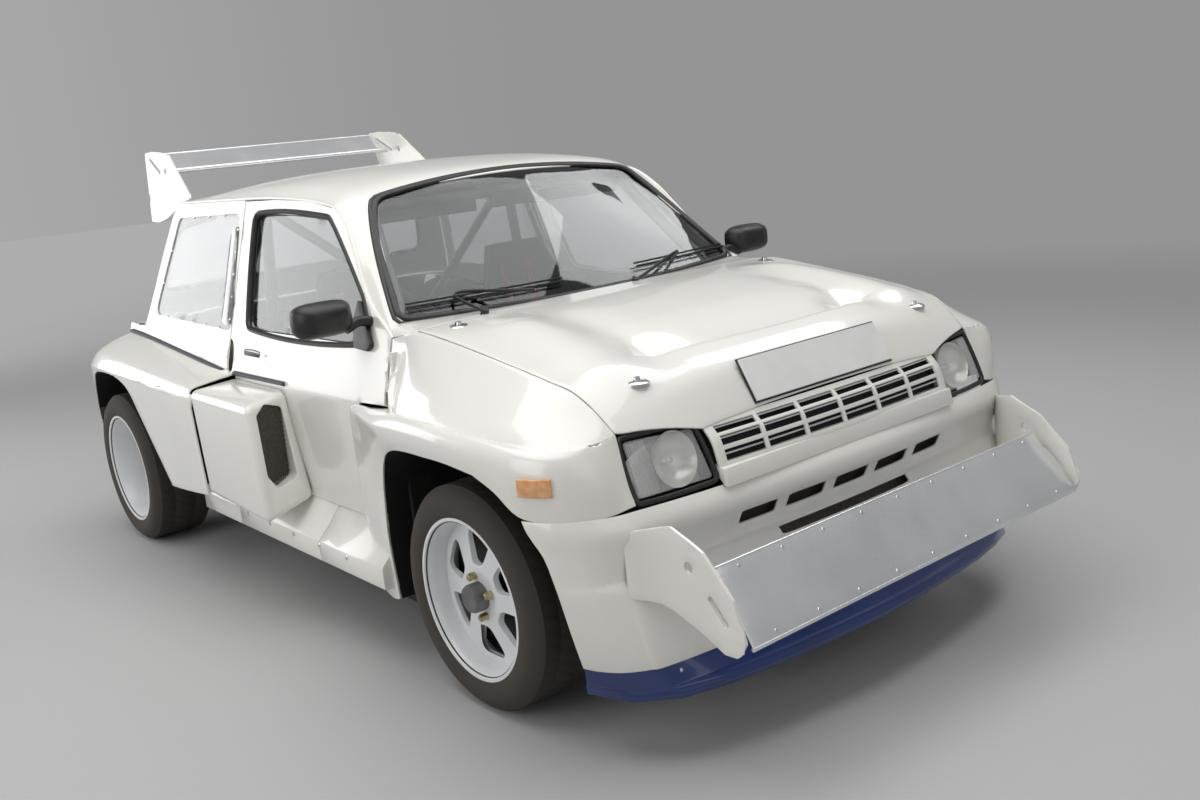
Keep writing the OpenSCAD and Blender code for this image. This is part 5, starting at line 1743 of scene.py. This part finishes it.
@dataclass
class RearQuarter:
    """Wide rear flare with the ledge above it, down to the rear corner."""

    side: Side
    sheet_t: float = 5.0
    flare: Sequence[Sequence[Sequence[float]]] = (
        ((-452, 936, 372), (-530, 938, 365), (-620, 939, 358), (-710, 940, 352), (-794, 940, 348)),
        ((-460, 936, 470), (-560, 939, 455), (-660, 940, 440), (-760, 940, 428), (-860, 940, 417)),
        ((-468, 936, 570), (-590, 940, 555), (-710, 940, 535), (-820, 940, 510), (-925, 940, 484)),
        ((-478, 934, 668), (-620, 940, 655), (-760, 940, 630), (-880, 940, 592), (-990, 940, 552)),
        ((-482, 930, 722), (-640, 938, 712), (-800, 940, 695), (-940, 940, 662), (-1050, 940, 614)),
        ((-760, 937, 722), (-860, 939, 716), (-950, 940, 706), (-1030, 940, 690), (-1087, 940, 653)),
        ((-1000, 939, 722), (-1040, 940, 719), (-1080, 940, 712), (-1125, 940, 700), (-1150, 940, 690)),
        ((-1260, 940, 725), (-1260, 940, 722), (-1260, 940, 719), (-1260, 940, 716), (-1260, 940, 712)),
        ((-1446, 935, 728), (-1446, 935, 725), (-1446, 935, 721), (-1446, 934, 717), (-1446, 934, 712)),
        ((-1620, 915, 722), (-1612, 917, 712), (-1600, 919, 702), (-1588, 920, 694), (-1575, 920, 685)),
        ((-1730, 880, 700), (-1718, 888, 680), (-1702, 895, 662), (-1685, 900, 645), (-1667, 903, 621)),
        ((-1780, 840, 640), (-1772, 852, 615), (-1762, 866, 590), (-1750, 880, 560), (-1735, 890, 520)),
        ((-1792, 800, 520), (-1788, 822, 500), (-1780, 845, 480), (-1770, 866, 450), (-1758, 880, 400)),
        ((-1790, 780, 300), (-1788, 805, 290), (-1780, 830, 285), (-1770, 855, 285), (-1758, 872, 290)))
    ledge: Sequence[Sequence[Sequence[float]]] = (
        ((-487, 754, 756), (-487, 800, 752), (-487, 870, 744), (-487, 915, 736), (-482, 930, 722)),
        ((-700, 752, 768), (-700, 800, 765), (-700, 870, 757), (-700, 918, 745), (-700, 936, 722)),
        ((-900, 748, 785), (-900, 800, 781), (-900, 870, 770), (-900, 920, 752), (-900, 939, 722)),
        ((-1100, 744, 802), (-1100, 795, 797), (-1100, 865, 783), (-1100, 920, 760), (-1100, 940, 722)),
        ((-1300, 738, 818), (-1300, 790, 812), (-1300, 860, 795), (-1300, 918, 768), (-1300, 940, 725)),
        ((-1500, 732, 830), (-1500, 780, 823), (-1500, 850, 803), (-1500, 908, 772), (-1500, 933, 725)),
        ((-1565, 733, 833), (-1575, 780, 820), (-1590, 845, 795), (-1605, 890, 765), (-1620, 915, 722)),
        ((-1640, 700, 800), (-1665, 760, 775), (-1690, 815, 750), (-1712, 855, 725), (-1730, 880, 700)),
        ((-1740, 700, 690), (-1752, 745, 680), (-1765, 785, 668), (-1774, 815, 655), (-1780, 840, 640)),
        ((-1795, 700, 560), (-1797, 728, 552), (-1798, 755, 545), (-1796, 780, 532), (-1792, 800, 520)),
        ((-1790, 700, 300), (-1792, 722, 300), (-1793, 745, 300), (-1792, 763, 300), (-1790, 780, 300)))
    strip: Sequence[tuple[float, float]] = ((-583, 757), (-700, 768), (-900, 785), (-1100, 802), (-1300, 819),
                                            (-1500, 833), (-1565, 836))

    def build(self) -> None:
        """Make the flare, its liner and the rubber strip."""
        settle(self.panel(), "chassis", "body_white", "rear_quarters")
        settle(self.liner(), "chassis", "underbody_black")
        path = [(x, float(side_y(np.array([z]))[0]) * self.side.value + 5 * self.side.value, z) for x,
                z in self.strip]
        settle(tube("rear_strip_" + self.side.word, smooth_path(path, 40), 13, GREY_RUBBER, 10, flat=0.6),
               "chassis",
               "black_trim")

    def panel(self) -> bpy.types.Object:
        """The skin from the strip to the arch lip and round the corner."""
        grids = [np.asarray(Patch(self.ledge).sampled(70, 12)), np.asarray(Patch(self.flare).sampled(80, 12))]
        return skin("rear_flare_" + self.side.word, grids, PAINT, self.side, self.sheet_t, weld=3.0)

    def liner(self) -> bpy.types.Object:
        """Near-black arch lining behind the lip: its own dark colour together with painted shade.

        Returns:
            The lining.
        """
        edge = np.array([r[-1] for r in self.flare[:-2]], float)
        path = smooth_path(edge, 30)
        rows = np.stack([path - [0, d, 0] for d in (4, 30, 180, 420)])
        # Near-black sheet running inward: the lining's dark colour and painted shade in the arch.
        return skin("rear_liner_" + self.side.word, [rows], SHADE_BLACK, self.side, 3.0, edge=0)


@dataclass
class RearPanel:
    """Panel across the tail with its lamps, tailpipe openings and blank plate."""

    profile: Sequence[tuple[float, float]] = (
        (-1600, 862), (-1640, 800), (-1740, 690), (-1795, 560), (-1799, 430), (-1790, 300), (-1755, 240))
    pipe_y: float = 170.0
    pipe_z: float = 400.0
    pipe_r: float = 62.0

    def build(self) -> None:
        """Make the tail."""
        settle(self.panel(), "chassis", "body_white", "rear_panel")
        settle(joined("tail_lamp_units", [self.lamp(s) for s in Side]), "chassis", "lamp_red", "tail_lamps")

    def at(self, y: Grid, t: Grid) -> Grid:
        """The tail's surface; t counts down its profile's points."""
        p = hermite(np.arange(len(self.profile), dtype=float), np.asarray(self.profile, float), t)
        return np.stack([p[:, 0], y, p[:, 1]], 1)

    def panel(self) -> bpy.types.Object:
        """The sheet with two round pipe openings.

        Returns:
            Body, plate and shelf as one object.
        """
        t = float(np.interp(-self.pipe_z, [-560, -430, -300], [3, 4, 5]))
        holes = [[(s * self.pipe_y + self.pipe_r * math.cos(a), t + self.pipe_r / 130 * math.sin(a))
                  for a in np.linspace(0, 2 * math.pi, 28)[:-1]] for s in (-1, 1)]
        body = trimmed("tail_skin", self.at, [(-700, 0), (700, 0), (700, 6), (-700, 6)], PAINT, holes, 26,
                       (1, 130),
                       thick=5.0)
        y = np.linspace(-700, 700, 33)
        gate = np.interp(np.abs(y), [0, 250, 485, 662, 724], [-1598, -1596, -1580, -1534, -1430])
        shelf = skin("tail_shelf", [np.stack([np.stack([gate + 45, y, np.full(33, 864.0)], 1),
                                              np.stack([np.full(33, -1600.0), y, np.full(33, 862.0)], 1)])],
                                              PAINT,
                     thick=4)
        plate = block("tail_plate", (-1802, -260, 592), (-1788, 260, 703), PLATE_WHITE, 2)
        for v in plate.data.vertices:
            v.co.x += (0.647 - v.co.z) * -0.423
        return joined("tail_unit", [body, plate, shelf])

    def lamp(self, s: Side) -> bpy.types.Object:
        """Ribbed red lamp.

        Args:
            s: The car's side.

        Returns:
            The ribs as one object.
        """
        y0, y1 = (480, 700) if s is Side.LEFT else (-700, -480)
        ribs = []
        for k in range(7):
            z = 646 + k * 13
            x = float(np.interp(-z, [-690, -560], [-1740, -1795]))
            ribs.append(block("lamp_rib", (x - 10, y0, z - 6), (x + 12, y1, z + 6), RED_LENS, 3))
        return joined("tail_lamp_" + s.word, ribs)


@dataclass
class Sill:
    """Sloped sill with the flat side board below it."""

    side: Side

    def build(self) -> None:
        """Make the sill."""
        sign = self.side.value
        section = [(y * sign, z) for y, z in ((700, 396), (754, 396), (790, 352), (834, 308), (838, 300),
                                              (838, 240),
                                              (820, 236), (700, 236))]
        made = joined("sill_board", [prism("sill_piece", section, 0, x0, x1, PAINT, 3)
                                     for x0, x1 in ((-780, -452), (-448, 160), (164, 556))])
        screws = [lathe("sill_screw", [(0, 4), (6, 3), (8, 0), (8, -5)], (x, 838 * self.side.value, 290),
                        CHROME,
                        (0, self.side.value, 0), 12, False) for x in (-380, -200, -20, 160, 340)]
        settle(joined("sill_unit_" + self.side.word, [made, *screws]), "chassis", "body_white", "sills")


@dataclass
class Tailgate:
    """Tailgate skin with its clear window, and the wing it carries."""

    window: Sequence[tuple[float, float]] = ((2.12, 1.1), (2.12, 6.9), (4.35, 6.9), (4.35, 1.1))

    def build(self) -> None:
        """Make the tailgate, its window and the wing."""
        edge = rounded(self.window, 0.4, 8)
        settle(trimmed("tailgate_skin", GATE.at, [(0, 0), (0, 8), (6, 8), (6, 0)], PAINT, [edge], 24,
                       (110, 150),
                       thick=5.0, turned=True), "tailgate", "body_white", "tailgate")
        seal_path = GATE.at(*np.asarray(edge, float).T)
        settle(tube("gate_seal", smooth_path(seal_path, 24, True), 9, RUBBER, 10, True, 0.7), "tailgate",
               "black_trim")
        settle(trimmed("gate_pane", lowered(GATE, 4), rounded(self.window, 0.4, 8), PERSPEX, (), 40,
                       (110, 150),
                       thick=4, edge=0, turned=True), "tailgate", "perspex", "tailgate_window")
        settle(self.wing(), "tailgate", "brushed_aluminium", "rear_wing")
        settle(joined("wing_ends", [self.endplate(s) for s in Side]), "tailgate", "body_white",
               "wing_endplates")

    def wing(self) -> bpy.types.Object:
        """Bare sheet wing bent round a front tube, with a stiffening fold.

        Returns:
            Plate, tube and lip as one object.
        """
        top = [(-1494, 1462), (-1520, 1474), (-1560, 1494), (-1600, 1514), (-1631, 1531)]
        rows = [[(x, y, z) for x, z in top] for y in np.linspace(-512, 512, 34)]
        plate = skin("wing_plate", [np.asarray(rows, float)], ALLOY, thick=3.0)
        bar = tube("wing_tube", smooth_path([(-1489, y, 1458) for y in np.linspace(-516, 516, 12)], 60), 11,
                   ALLOY, 16)
        lip = tube("wing_fold", smooth_path([(-1632, y, 1531) for y in np.linspace(-512, 512, 12)], 60), 5,
                   ALLOY, 8)
        return joined("wing", [plate, bar, lip])

    def endplate(self, s: Side) -> bpy.types.Object:
        """White side plate with a slot and a hole.

        Args:
            s: The car's side.

        Returns:
            Plate and clips as one object.
        """
        outline = rounded([(-1152, 1347), (-1384, 1520), (-1471, 1535), (-1566, 1542), (-1654, 1541),
                           (-1599, 1262),
                           (-1510, 1258), (-1420, 1272), (-1235, 1330)], 12)
        slot = rounded([(-1480, 1445), (-1604, 1508), (-1598, 1522), (-1474, 1460)], 5)
        hole = [(-1420 + 15 * math.cos(a), 1455 + 15 * math.sin(a)) for a in np.linspace(0, 2 * math.pi,
                                                                                         20)[:-1]]

        def surface(x: Grid, z: Grid) -> Grid:
            """The plate, spreading a little towards its foot."""
            return np.stack([x, 522 + (1543 - z) * 0.14, z], 1)

        plate = trimmed("wing_end_" + s.word, surface, outline, PAINT, [slot, hole], 22, side=s, thick=8.0,
                        edge=2)
        clips = [block("clip", (x - 14, s.value * 545 - 12, z - 12), (x + 14, s.value * 545 + 12, z + 12),
                       CHROME, 3)
                 for x, z in ((-1290, 1345), (-1420, 1300))]
        return joined("wing_endplate_" + s.word, [plate, *clips])


@dataclass
class Wheel:
    """One wheel with its tyre, built about its own axle and put where the CAD wheel is."""

    place: str
    side: Side
    centre: tuple[float, float]
    face: float
    dish: float
    width: float
    windows: int = 6

    def build(self) -> None:
        """Make the wheel and its tyre."""
        name, body = f"{self.place}_{self.side.word}", f"{self.place}_wheel_{self.side.word}"
        settle(self.rim(), body, "wheel_white", "wheel_" + name)
        settle(self.tyre(), body, "tyre_rubber", "tyre_" + name)

    def rim(self) -> bpy.types.Object:
        """Barrel, dished face with windows, hub boss and nuts.

        Returns:
            All its parts as one object.
        """
        s, f, d, w = self.side.value, self.face, self.dish, self.width
        at = (self.centre[0], 0.0, self.centre[1])
        barrel = lathe("barrel", [(218, f), (220, f - 6), (212, f - 12), (205, f - 22), (204, f - d), (202,
            f - w + 20),
                                  (214, f - w + 8), (216, f - w), (206, f - w), (198, f - w + 20),
                                  (198, f - d - 10),
                                  (198, f - 22), (206, f - 8), (210, f)], at, WHEEL_PAINT, (0, s, 0), 96,
                                  True)
        face = lathe("face", [(203, f - d), (170, f - d + 4), (120, f - d + 14), (74, f - d + 24), (60,
            f - d + 22),
                              (0, f - d + 22), (0, f - d + 8), (60, f - d + 8), (120, f - d - 2),
                              (203, f - d - 12)],
                     at, WHEEL_PAINT, (0, s, 0), 96, False)
        for k in range(self.windows):
            a = 2 * math.pi * (k + 0.5) / self.windows
            corners = [(86, -0.26), (182, -0.34), (182, 0.34), (86, 0.26)]
            shape = rounded([(at[0] + r * math.cos(a + t), at[2] + r * math.sin(a + t)) for r,
                             t in corners], 24)
            low, high = sorted(((f - d - 40) * s, (f - d + 60) * s))
            cut(face, prism("window_tool", shape, 1, low, high, SHADE_BLACK))
        soften(face, 2.0, 35, 2)
        hub = lathe("hub", [(0, f - d + 62), (34, f - d + 60), (38, f - d + 52), (38, f - d + 20), (0,
            f - d + 18)], at,
                    CAST, (0, s, 0), 40, False)
        nuts = [lathe("nut", [(0, f - d + 46), (8, f - d + 45), (11, f - d + 40), (11, f - d + 20), (0,
            f - d + 20)],
                      (at[0] + 54 * math.cos(t), 0, at[2] + 54 * math.sin(t)), BRASS, (0, s, 0), 6, False)
                for t in np.linspace(0.3, 0.3 + 2 * math.pi, 5)[:-1]]
        disc = lathe("brake_disc", [(190, f - d - 34), (190, f - d - 48), (70, f - d - 48), (70,
                                                                                             f - d - 34)], at,
                     DARK_METAL, (0, s, 0), 64, True)
        return joined(f"rim_{self.place}_{self.side.word}", [barrel, face, hub, *nuts, disc])

    def tyre(self) -> bpy.types.Object:
        """Tyre with raised tread blocks cut by grooves.

        Returns:
            The tyre.
        """
        s, f, w = self.side.value, self.face, self.width
        m = f - w / 2
        half = w / 2
        profile = [(212, half - 4), (224, half + 2), (250, half + 6), (276, half + 2), (292, half - 10)]
        lanes = 14
        tread = [(299.0, half - 20 - (2 * half - 40) * k / lanes) for k in range(lanes + 1)]
        profile = profile + tread + [(r, -a) for r, a in reversed(profile)]
        steps = 240
        rows = []
        for k in range(steps):
            a = 2 * math.pi * k / steps
            ring = []
            for i, (r, off) in enumerate(profile):
                lane = i - 5
                if 0 <= lane <= lanes:
                    groove = lane in (4, 10) or (1 < lane < lanes - 1 and (k + lane) % 5 == 0)
                    r = (298.5 if groove else 303.0) - 2.0 * abs(lane - lanes / 2) / (lanes / 2)
                ring.append((self.centre[0] + r * math.cos(a), (m + off) * s,
                             self.centre[1] + r * math.sin(a)))
            rows.append(ring)
        n = len(profile)
        inner = [(206, -half + 4), (206, half - 4)]
        for k, ring in enumerate(rows):
            a = 2 * math.pi * k / steps
            ring += [(self.centre[0] + r * math.cos(a), (m + off) * s, self.centre[1] + r * math.sin(a))
                     for r, off in inner]
        verts = [p for ring in rows for p in ring]
        made = mesh_object(f"tread_{self.place}_{self.side.word}", verts,
                           grid_faces(steps, n + 2, True, True),
                           TYRE_RUBBER, 30)
        return fix_normals(made)


@dataclass
class Interior:
    """Seats, dashboard, wheel and the small things seen through the glass."""

    def build(self) -> None:
        """Make the inside."""
        for s in Side:
            settle(self.seat(s), "chassis", "seat_cloth", "bucket_seats")
        settle(self.dashboard(), "chassis", "dash_black", "dashboard")
        settle(self.steering_wheel(), "steering", "rim_leather", "steering_wheel")
        settle(self.wipers(), "chassis", "black_trim", "wipers")
        settle(self.mirror(), "chassis", "black_trim")

    def seat(self, s: Side) -> bpy.types.Object:
        """Bucket with raised sides, cushion and red belts.

        Args:
            s: The car's side.

        Returns:
            Shell, cushion and belts as one object.
        """
        y = 345 * s.value
        back = []
        for t in np.linspace(0, 1, 12):
            z, x = 420 + t * 640, -190 - t * 170
            half = 190 if t < 0.7 else 190 - (t - 0.7) * 260
            back.append([(x + 95 * abs(q) ** 2.4 * (1 - 0.45 * t), y + q * half, z) for q in np.linspace(-1,
                1, 15)])
        shell = skin("seat_back", [np.asarray(back, float)], SEAT_CLOTH, thick=26.0, edge=6)
        base = []
        for t in np.linspace(0, 1, 8):
            x = 150 - t * 345
            base.append([(x, y + q * 190, 348 - 16 * t + 85 * abs(q) ** 3) for q in np.linspace(-1, 1, 15)])
        cushion = skin("seat_base", [np.asarray(base, float)], SEAT_CLOTH, thick=26.0, edge=6, turned=True)
        belts = [tube("belt", smooth_path([(-240 - 90 * t, y + q * 62,
                                            560 + 420 * t) for t in np.linspace(0, 1, 6)],
                                          60), 20, RED_CLOTH, 8, flat=0.25) for q in (-1, 1)]
        return joined("bucket_seat_" + s.word, [shell, cushion, *belts])

    def dashboard(self) -> bpy.types.Object:
        """Flocked top with a hood in front of the driver.

        Returns:
            Body and dials as one object.
        """
        low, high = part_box("dashboard")
        x0, x1 = low[0] / MM, high[0] / MM
        z0, z1 = low[2] / MM, high[2] / MM
        profile = rounded([(x1 - 6, z1 - 70), (x1 - 40, z1 - 6), (x0 + 90, z1 - 8), (x0 + 12, z1 - 45),
                           (x0 + 4, z0 + 40),
                           (x0 + 40, z0 + 6), (x1 - 20, z0 + 30)], 24)
        body = prism("dash", profile, 1, low[1] / MM + 8, high[1] / MM - 8, FLOCK, 6)
        dials = [lathe("dial", [(0, 4), (30, 4), (36, 8), (40, 4), (40, -6)],
                       (x0 + 10, -345 + q * 95, z1 - 70),
                       CHROME, (-1, 0, 0.35), 28, False) for q in (-1, 0, 1)]
        return joined("dashboard_unit", [body, *dials])

    def steering_wheel(self) -> bpy.types.Object:
        """Leather rim with three spokes.

        Returns:
            Rim, spokes and boss as one object.
        """
        low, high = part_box("steering_wheel")
        centre = np.array([(low[k] + high[k]) / 2 / MM for k in range(3)])
        axis = np.array([0.820399, 0, -0.571792])
        up = np.array([0.571792, 0, 0.820399])
        right = np.array([0, 1.0, 0])
        r = (high[1] - low[1]) / 2 / MM - 14
        hub = centre - axis * ((high[0] - low[0]) / 2 / MM * 0.15)
        ring = [centre + (right * math.cos(a) + up * math.sin(a)) * r for a in np.linspace(0, 2 * math.pi,
                                                                                           49)[:-1]]
        rim = tube("rim", np.asarray(ring), 14, RIM_LEATHER, 14, True)
        spokes = [tube("spoke", np.linspace(hub, centre + (right * math.cos(a) + up * math.sin(a)) * r, 5),
                       8, CAST, 8,
                       flat=0.5) for a in (math.radians(q) for q in (0, 180, 270))]
        boss = lathe("boss", [(0, -14), (34, -12), (40, 4), (34, 16), (0, 18)], tuple(hub), BLACK_PLASTIC,
                     tuple(axis),
                     28, False)
        return joined("steering_wheel_unit", [rim, *spokes, boss])

    def wipers(self) -> bpy.types.Object:
        """Two arms with their twin blades.

        Returns:
            Both wipers as one object.
        """
        parts = []
        for y0, y1 in ((-478, -60), (77, 470)):
            base = (690, y0, 978)
            elbow = UPPER.at(np.array([0.55]), np.array([4 + (y0 + 180) / 160]))[0]
            arm = tube("arm", smooth_path([base, (elbow + np.array([0, 0, 12])).tolist(),
                                           (640, (y0 + y1) / 2, 1006)], 30), 5, BLACK_PLASTIC, 8)
            blades = []
            for drop in (0.0, 14.0):
                line = []
                for t in np.linspace(0, 1, 10):
                    y = y0 + 40 + t * (y1 - y0 - 40)
                    p = UPPER.at(np.array([0.42 + drop / 130]), np.array([4 + y / 160]))[0]
                    line.append(p + np.array([5, 0, 8]))
                blades.append(tube("blade", np.asarray(line), 3.2, BLACK_PLASTIC, 6))
            pivot = lathe("pivot", [(0, 14), (10, 12), (12, 0), (12, -8)], base, BLACK_PLASTIC,
                          (0.4, 0, 0.9), 18,
                          False)
            parts += [arm, *blades, pivot]
        return joined("wiper_set", parts)

    def mirror(self) -> bpy.types.Object:
        """Mirror inside the windscreen and two sun visors.

        Returns:
            Mirror and visors as one object.
        """
        glass = block("inside_mirror", (205, -95, 1228), (222, 95, 1278), BLACK_PLASTIC, 6)
        visors = [block("visor", (140, s * 300 - 190, 1222), (156, s * 300 + 190, 1318), BLACK_PLASTIC, 6)
                  for s in (-1, 1)]
        return joined("screen_header_parts", [glass, *visors])


@dataclass
class CarriedParts:
    """CAD pieces kept as they are, each with its own finish."""

    post_y: float = 690.0
    post_z: float = 740.0

    finishes: dict[str, Finish] = field(default_factory=lambda: {
        "floor_tub": SHADOW_BLACK, "roll_cage": CAGE_PAINT, "engine": CAST, "front_suspension": DARK_METAL,
        "rear_suspension": DARK_METAL, "knuckle_left": DARK_METAL, "knuckle_right": DARK_METAL})

    def build(self) -> None:
        """Dress each carried piece."""
        for name, finish in self.finishes.items():
            found = [o for o in bpy.data.objects if o.type == "MESH" and o.name.split(".")[0] == name]
            for item in found:
                item.data.materials.clear()
                item.data.materials.append(finish.material())
            LOG.info("%s: %d carried with %s", name, len(found), finish.name)
        self.paint_above_sill(self.finishes["floor_tub"].material())

    def paint_above_sill(self, made: bpy.types.Material) -> None:
        """Give the tub body paint above the sills, where its hinge posts stand in the shut lines.

        Args:
            made: The tub's material.
        """
        tree = made.node_tree
        shader = tree.nodes["Principled BSDF"]
        dark = shader.inputs["Base Color"].links[0].from_socket
        place, split = tree.nodes.new("ShaderNodeTexCoord"), tree.nodes.new("ShaderNodeSeparateXYZ")
        out, high, both = (tree.nodes.new("ShaderNodeMath") for _ in range(3))
        out.operation = high.operation = "GREATER_THAN"
        both.operation = "MULTIPLY"
        width = tree.nodes.new("ShaderNodeMath")
        width.operation = "ABSOLUTE"
        out.inputs[1].default_value, high.inputs[1].default_value = self.post_y * MM, self.post_z * MM
        mix = tree.nodes.new("ShaderNodeMix")
        mix.data_type = "RGBA"
        mix.inputs["B"].default_value = (*PAINT.color, 1.0)
        tree.links.new(place.outputs["Object"], split.inputs[0])
        tree.links.new(split.outputs["Y"], width.inputs[0])
        tree.links.new(width.outputs[0], out.inputs[0])
        tree.links.new(split.outputs["Z"], high.inputs[0])
        tree.links.new(out.outputs[0], both.inputs[0])
        tree.links.new(high.outputs[0], both.inputs[1])
        tree.links.new(both.outputs[0], mix.inputs["Factor"])
        tree.links.new(dark, mix.inputs["A"])
        tree.links.new(mix.outputs["Result"], shader.inputs["Base Color"])


@dataclass
class Studio:
    """Camera, lamps, floor and backdrop."""

    position: tuple[float, float, float] = (3422.3, -2254.0, 1421.9)
    yaw: float = 2.476
    pitch: float = -0.222
    roll: float = -0.105
    lens: float = 35.285
    # Painted light on the backdrop and far floor: grey at the right, brighter grey at the left.
    far_grey: float = 0.30
    left_grey: float = 0.42
    fade: tuple[float, float] = (3.2, 9.0)

    def build(self) -> None:
        """Make the studio."""
        self.camera()
        self.floor()
        self.lamps()
        self.backdrop()
        bpy.context.scene.view_settings.view_transform = "Standard"

    def camera(self) -> None:
        """Place the camera at the front right, tilted."""
        cy, sy, cp, sp = math.cos(self.yaw), math.sin(self.yaw), math.cos(self.pitch), math.sin(self.pitch)
        ahead = np.array([cy * cp, sy * cp, sp])
        right = np.cross(ahead, [0, 0, 1])
        right /= np.linalg.norm(right)
        up = np.cross(right, ahead)
        c, s = math.cos(self.roll), math.sin(self.roll)
        r2, u2 = c * right + s * up, -s * right + c * up
        data = bpy.data.cameras.new("view")
        data.lens, data.sensor_width = self.lens, 36.0
        data.shift_x, data.shift_y = 0.0003, 0.0018
        data.clip_end = 100.0
        cam = bpy.data.objects.new("view", data)
        turn = Matrix(np.column_stack([r2, u2, -ahead]).tolist()).to_4x4()
        cam.matrix_world = Matrix.Translation(Vector(self.position) * MM) @ turn
        bpy.context.scene.collection.objects.link(cam)
        bpy.context.scene.camera = cam

    def floor(self) -> None:
        """Pale floor that, far off, turns into a glowing grey of painted light, brighter to the left, and so
        runs into the backdrop's grey.
        """
        mesh = bpy.data.meshes.new("floor")
        mesh.from_pydata([(-40, -40, 0), (40, -40, 0), (40, 40, 0), (-40, 40, 0)], [], [(0, 1, 2, 3)])
        plain = bpy.data.materials.new("floor_grey")
        plain.use_nodes = True
        tree = plain.node_tree
        shader = tree.nodes["Principled BSDF"]
        shader.inputs["Base Color"].default_value = (0.47, 0.47, 0.47, 1)
        shader.inputs["Roughness"].default_value = 0.9
        place = tree.nodes.new("ShaderNodeTexCoord")
        reach = tree.nodes.new("ShaderNodeVectorMath")
        reach.operation = "LENGTH"
        fade = tree.nodes.new("ShaderNodeMapRange")
        fade.inputs["From Min"].default_value, fade.inputs["From Max"].default_value = self.fade
        fade.interpolation_type = "SMOOTHSTEP"
        # The far floor glows with painted light instead of being lit: a grey that brightens to the left.
        painted_glow, mix = tree.nodes.new("ShaderNodeEmission"), tree.nodes.new("ShaderNodeMixShader")
        tree.links.new(self.shade_grey(tree, place.outputs["Object"], 7.0), painted_glow.inputs["Color"])
        tree.links.new(place.outputs["Object"], reach.inputs[0])
        tree.links.new(reach.outputs["Value"], fade.inputs["Value"])
        tree.links.new(fade.outputs["Result"], mix.inputs["Fac"])
        tree.links.new(shader.outputs["BSDF"], mix.inputs[1])
        tree.links.new(painted_glow.outputs["Emission"], mix.inputs[2])
        tree.links.new(mix.outputs["Shader"], tree.nodes["Material Output"].inputs["Surface"])
        mesh.materials.append(plain)
        made = bpy.data.objects.new("floor", mesh)
        bpy.context.scene.collection.objects.link(made)

    def shade_grey(self, tree: bpy.types.NodeTree, place: bpy.types.NodeSocket,
                   reach: float) -> bpy.types.NodeSocket:
        """Grey of painted light that brightens to the left of the view.

        Args:
            tree: Node tree to add to.
            place: Position or direction.
            reach: Distance to the left at which it is brightest.

        Returns:
            The grey's value.
        """
        side, span = tree.nodes.new("ShaderNodeVectorMath"), tree.nodes.new("ShaderNodeMapRange")
        side.operation = "DOT_PRODUCT"
        side.inputs[1].default_value = (-math.sin(self.yaw), math.cos(self.yaw), 0)
        span.interpolation_type = "SMOOTHSTEP"
        span.inputs["From Min"].default_value, span.inputs["From Max"].default_value = 0.0, reach
        span.inputs["To Min"].default_value = self.far_grey
        span.inputs["To Max"].default_value = self.left_grey
        tree.links.new(place, side.inputs[0])
        tree.links.new(side.outputs["Value"], span.inputs["Value"])
        return span.outputs["Result"]

    def lamps(self) -> None:
        """A broad overhead panel, soft fills and the panels that the glass mirrors."""
        for name, at, size, power in (
                ("overhead", (0.4, -0.4, 4.6), 5.0, 165.0), ("front_fill", (5.5, -1.0, 2.6), 3.0, 20.0),
                ("side_fill", (0.5, -6.0, 2.8), 3.5, 74.0), ("side_panel", (-5.0, -3.0, 1.7), 3.0, 66.0),
                ("screen_panel", (0.4, 3.4, 4.4), 1.7, 30.0)):
            data = bpy.data.lights.new(name, "AREA")
            data.energy, data.size = power, size
            lamp = bpy.data.objects.new(name, data)
            lamp.location = at
            lamp.rotation_euler = (Vector((0, 0, 0.6)) - Vector(at)).to_track_quat("-Z", "Y").to_euler()
            bpy.context.scene.collection.objects.link(lamp)

    def backdrop(self) -> None:
        """Soft grey world; where the camera sees it, its own grey of painted light, brighter to the left."""
        world = bpy.data.worlds.new("studio")
        world.use_nodes = True
        tree = world.node_tree
        ambient = tree.nodes["Background"]
        ambient.inputs[0].default_value = (0.42, 0.42, 0.42, 1)
        ambient.inputs[1].default_value = 0.72
        seen, rays, mix = (tree.nodes.new("ShaderNode" + k) for k in ("Background", "LightPath", "MixShader"))
        place = tree.nodes.new("ShaderNodeTexCoord")
        tree.links.new(self.shade_grey(tree, place.outputs["Generated"], 0.62), seen.inputs[0])
        tree.links.new(rays.outputs["Is Camera Ray"], mix.inputs["Fac"])
        tree.links.new(ambient.outputs[0], mix.inputs[1])
        tree.links.new(seen.outputs[0], mix.inputs[2])
        tree.links.new(mix.outputs[0], tree.nodes["World Output"].inputs["Surface"])
        bpy.context.scene.world = world


def main() -> None:
    """Build each sub-assembly in order."""
    logging.basicConfig(level=logging.INFO, format="%(message)s")
    steps = [Cabin(), *(Door(s) for s in Side), *(FrontWing(s) for s in Side), Nose(), Bonnet(),
             *(RearQuarter(s) for s in Side), RearPanel(), *(Sill(s) for s in Side), Tailgate(),
             *(Wheel("front", s, (958.0, 303.0), 812.0, 62.0, 212.0) for s in Side),
             *(Wheel("rear", s, (-1433.0, 303.0), 901.0, 150.0, 226.0) for s in Side),
             Interior(), CarriedParts(), Studio()]
    for step in steps:
        LOG.info("building %s", type(step).__name__)
        step.build()


if __name__ == "__main__":
    main()
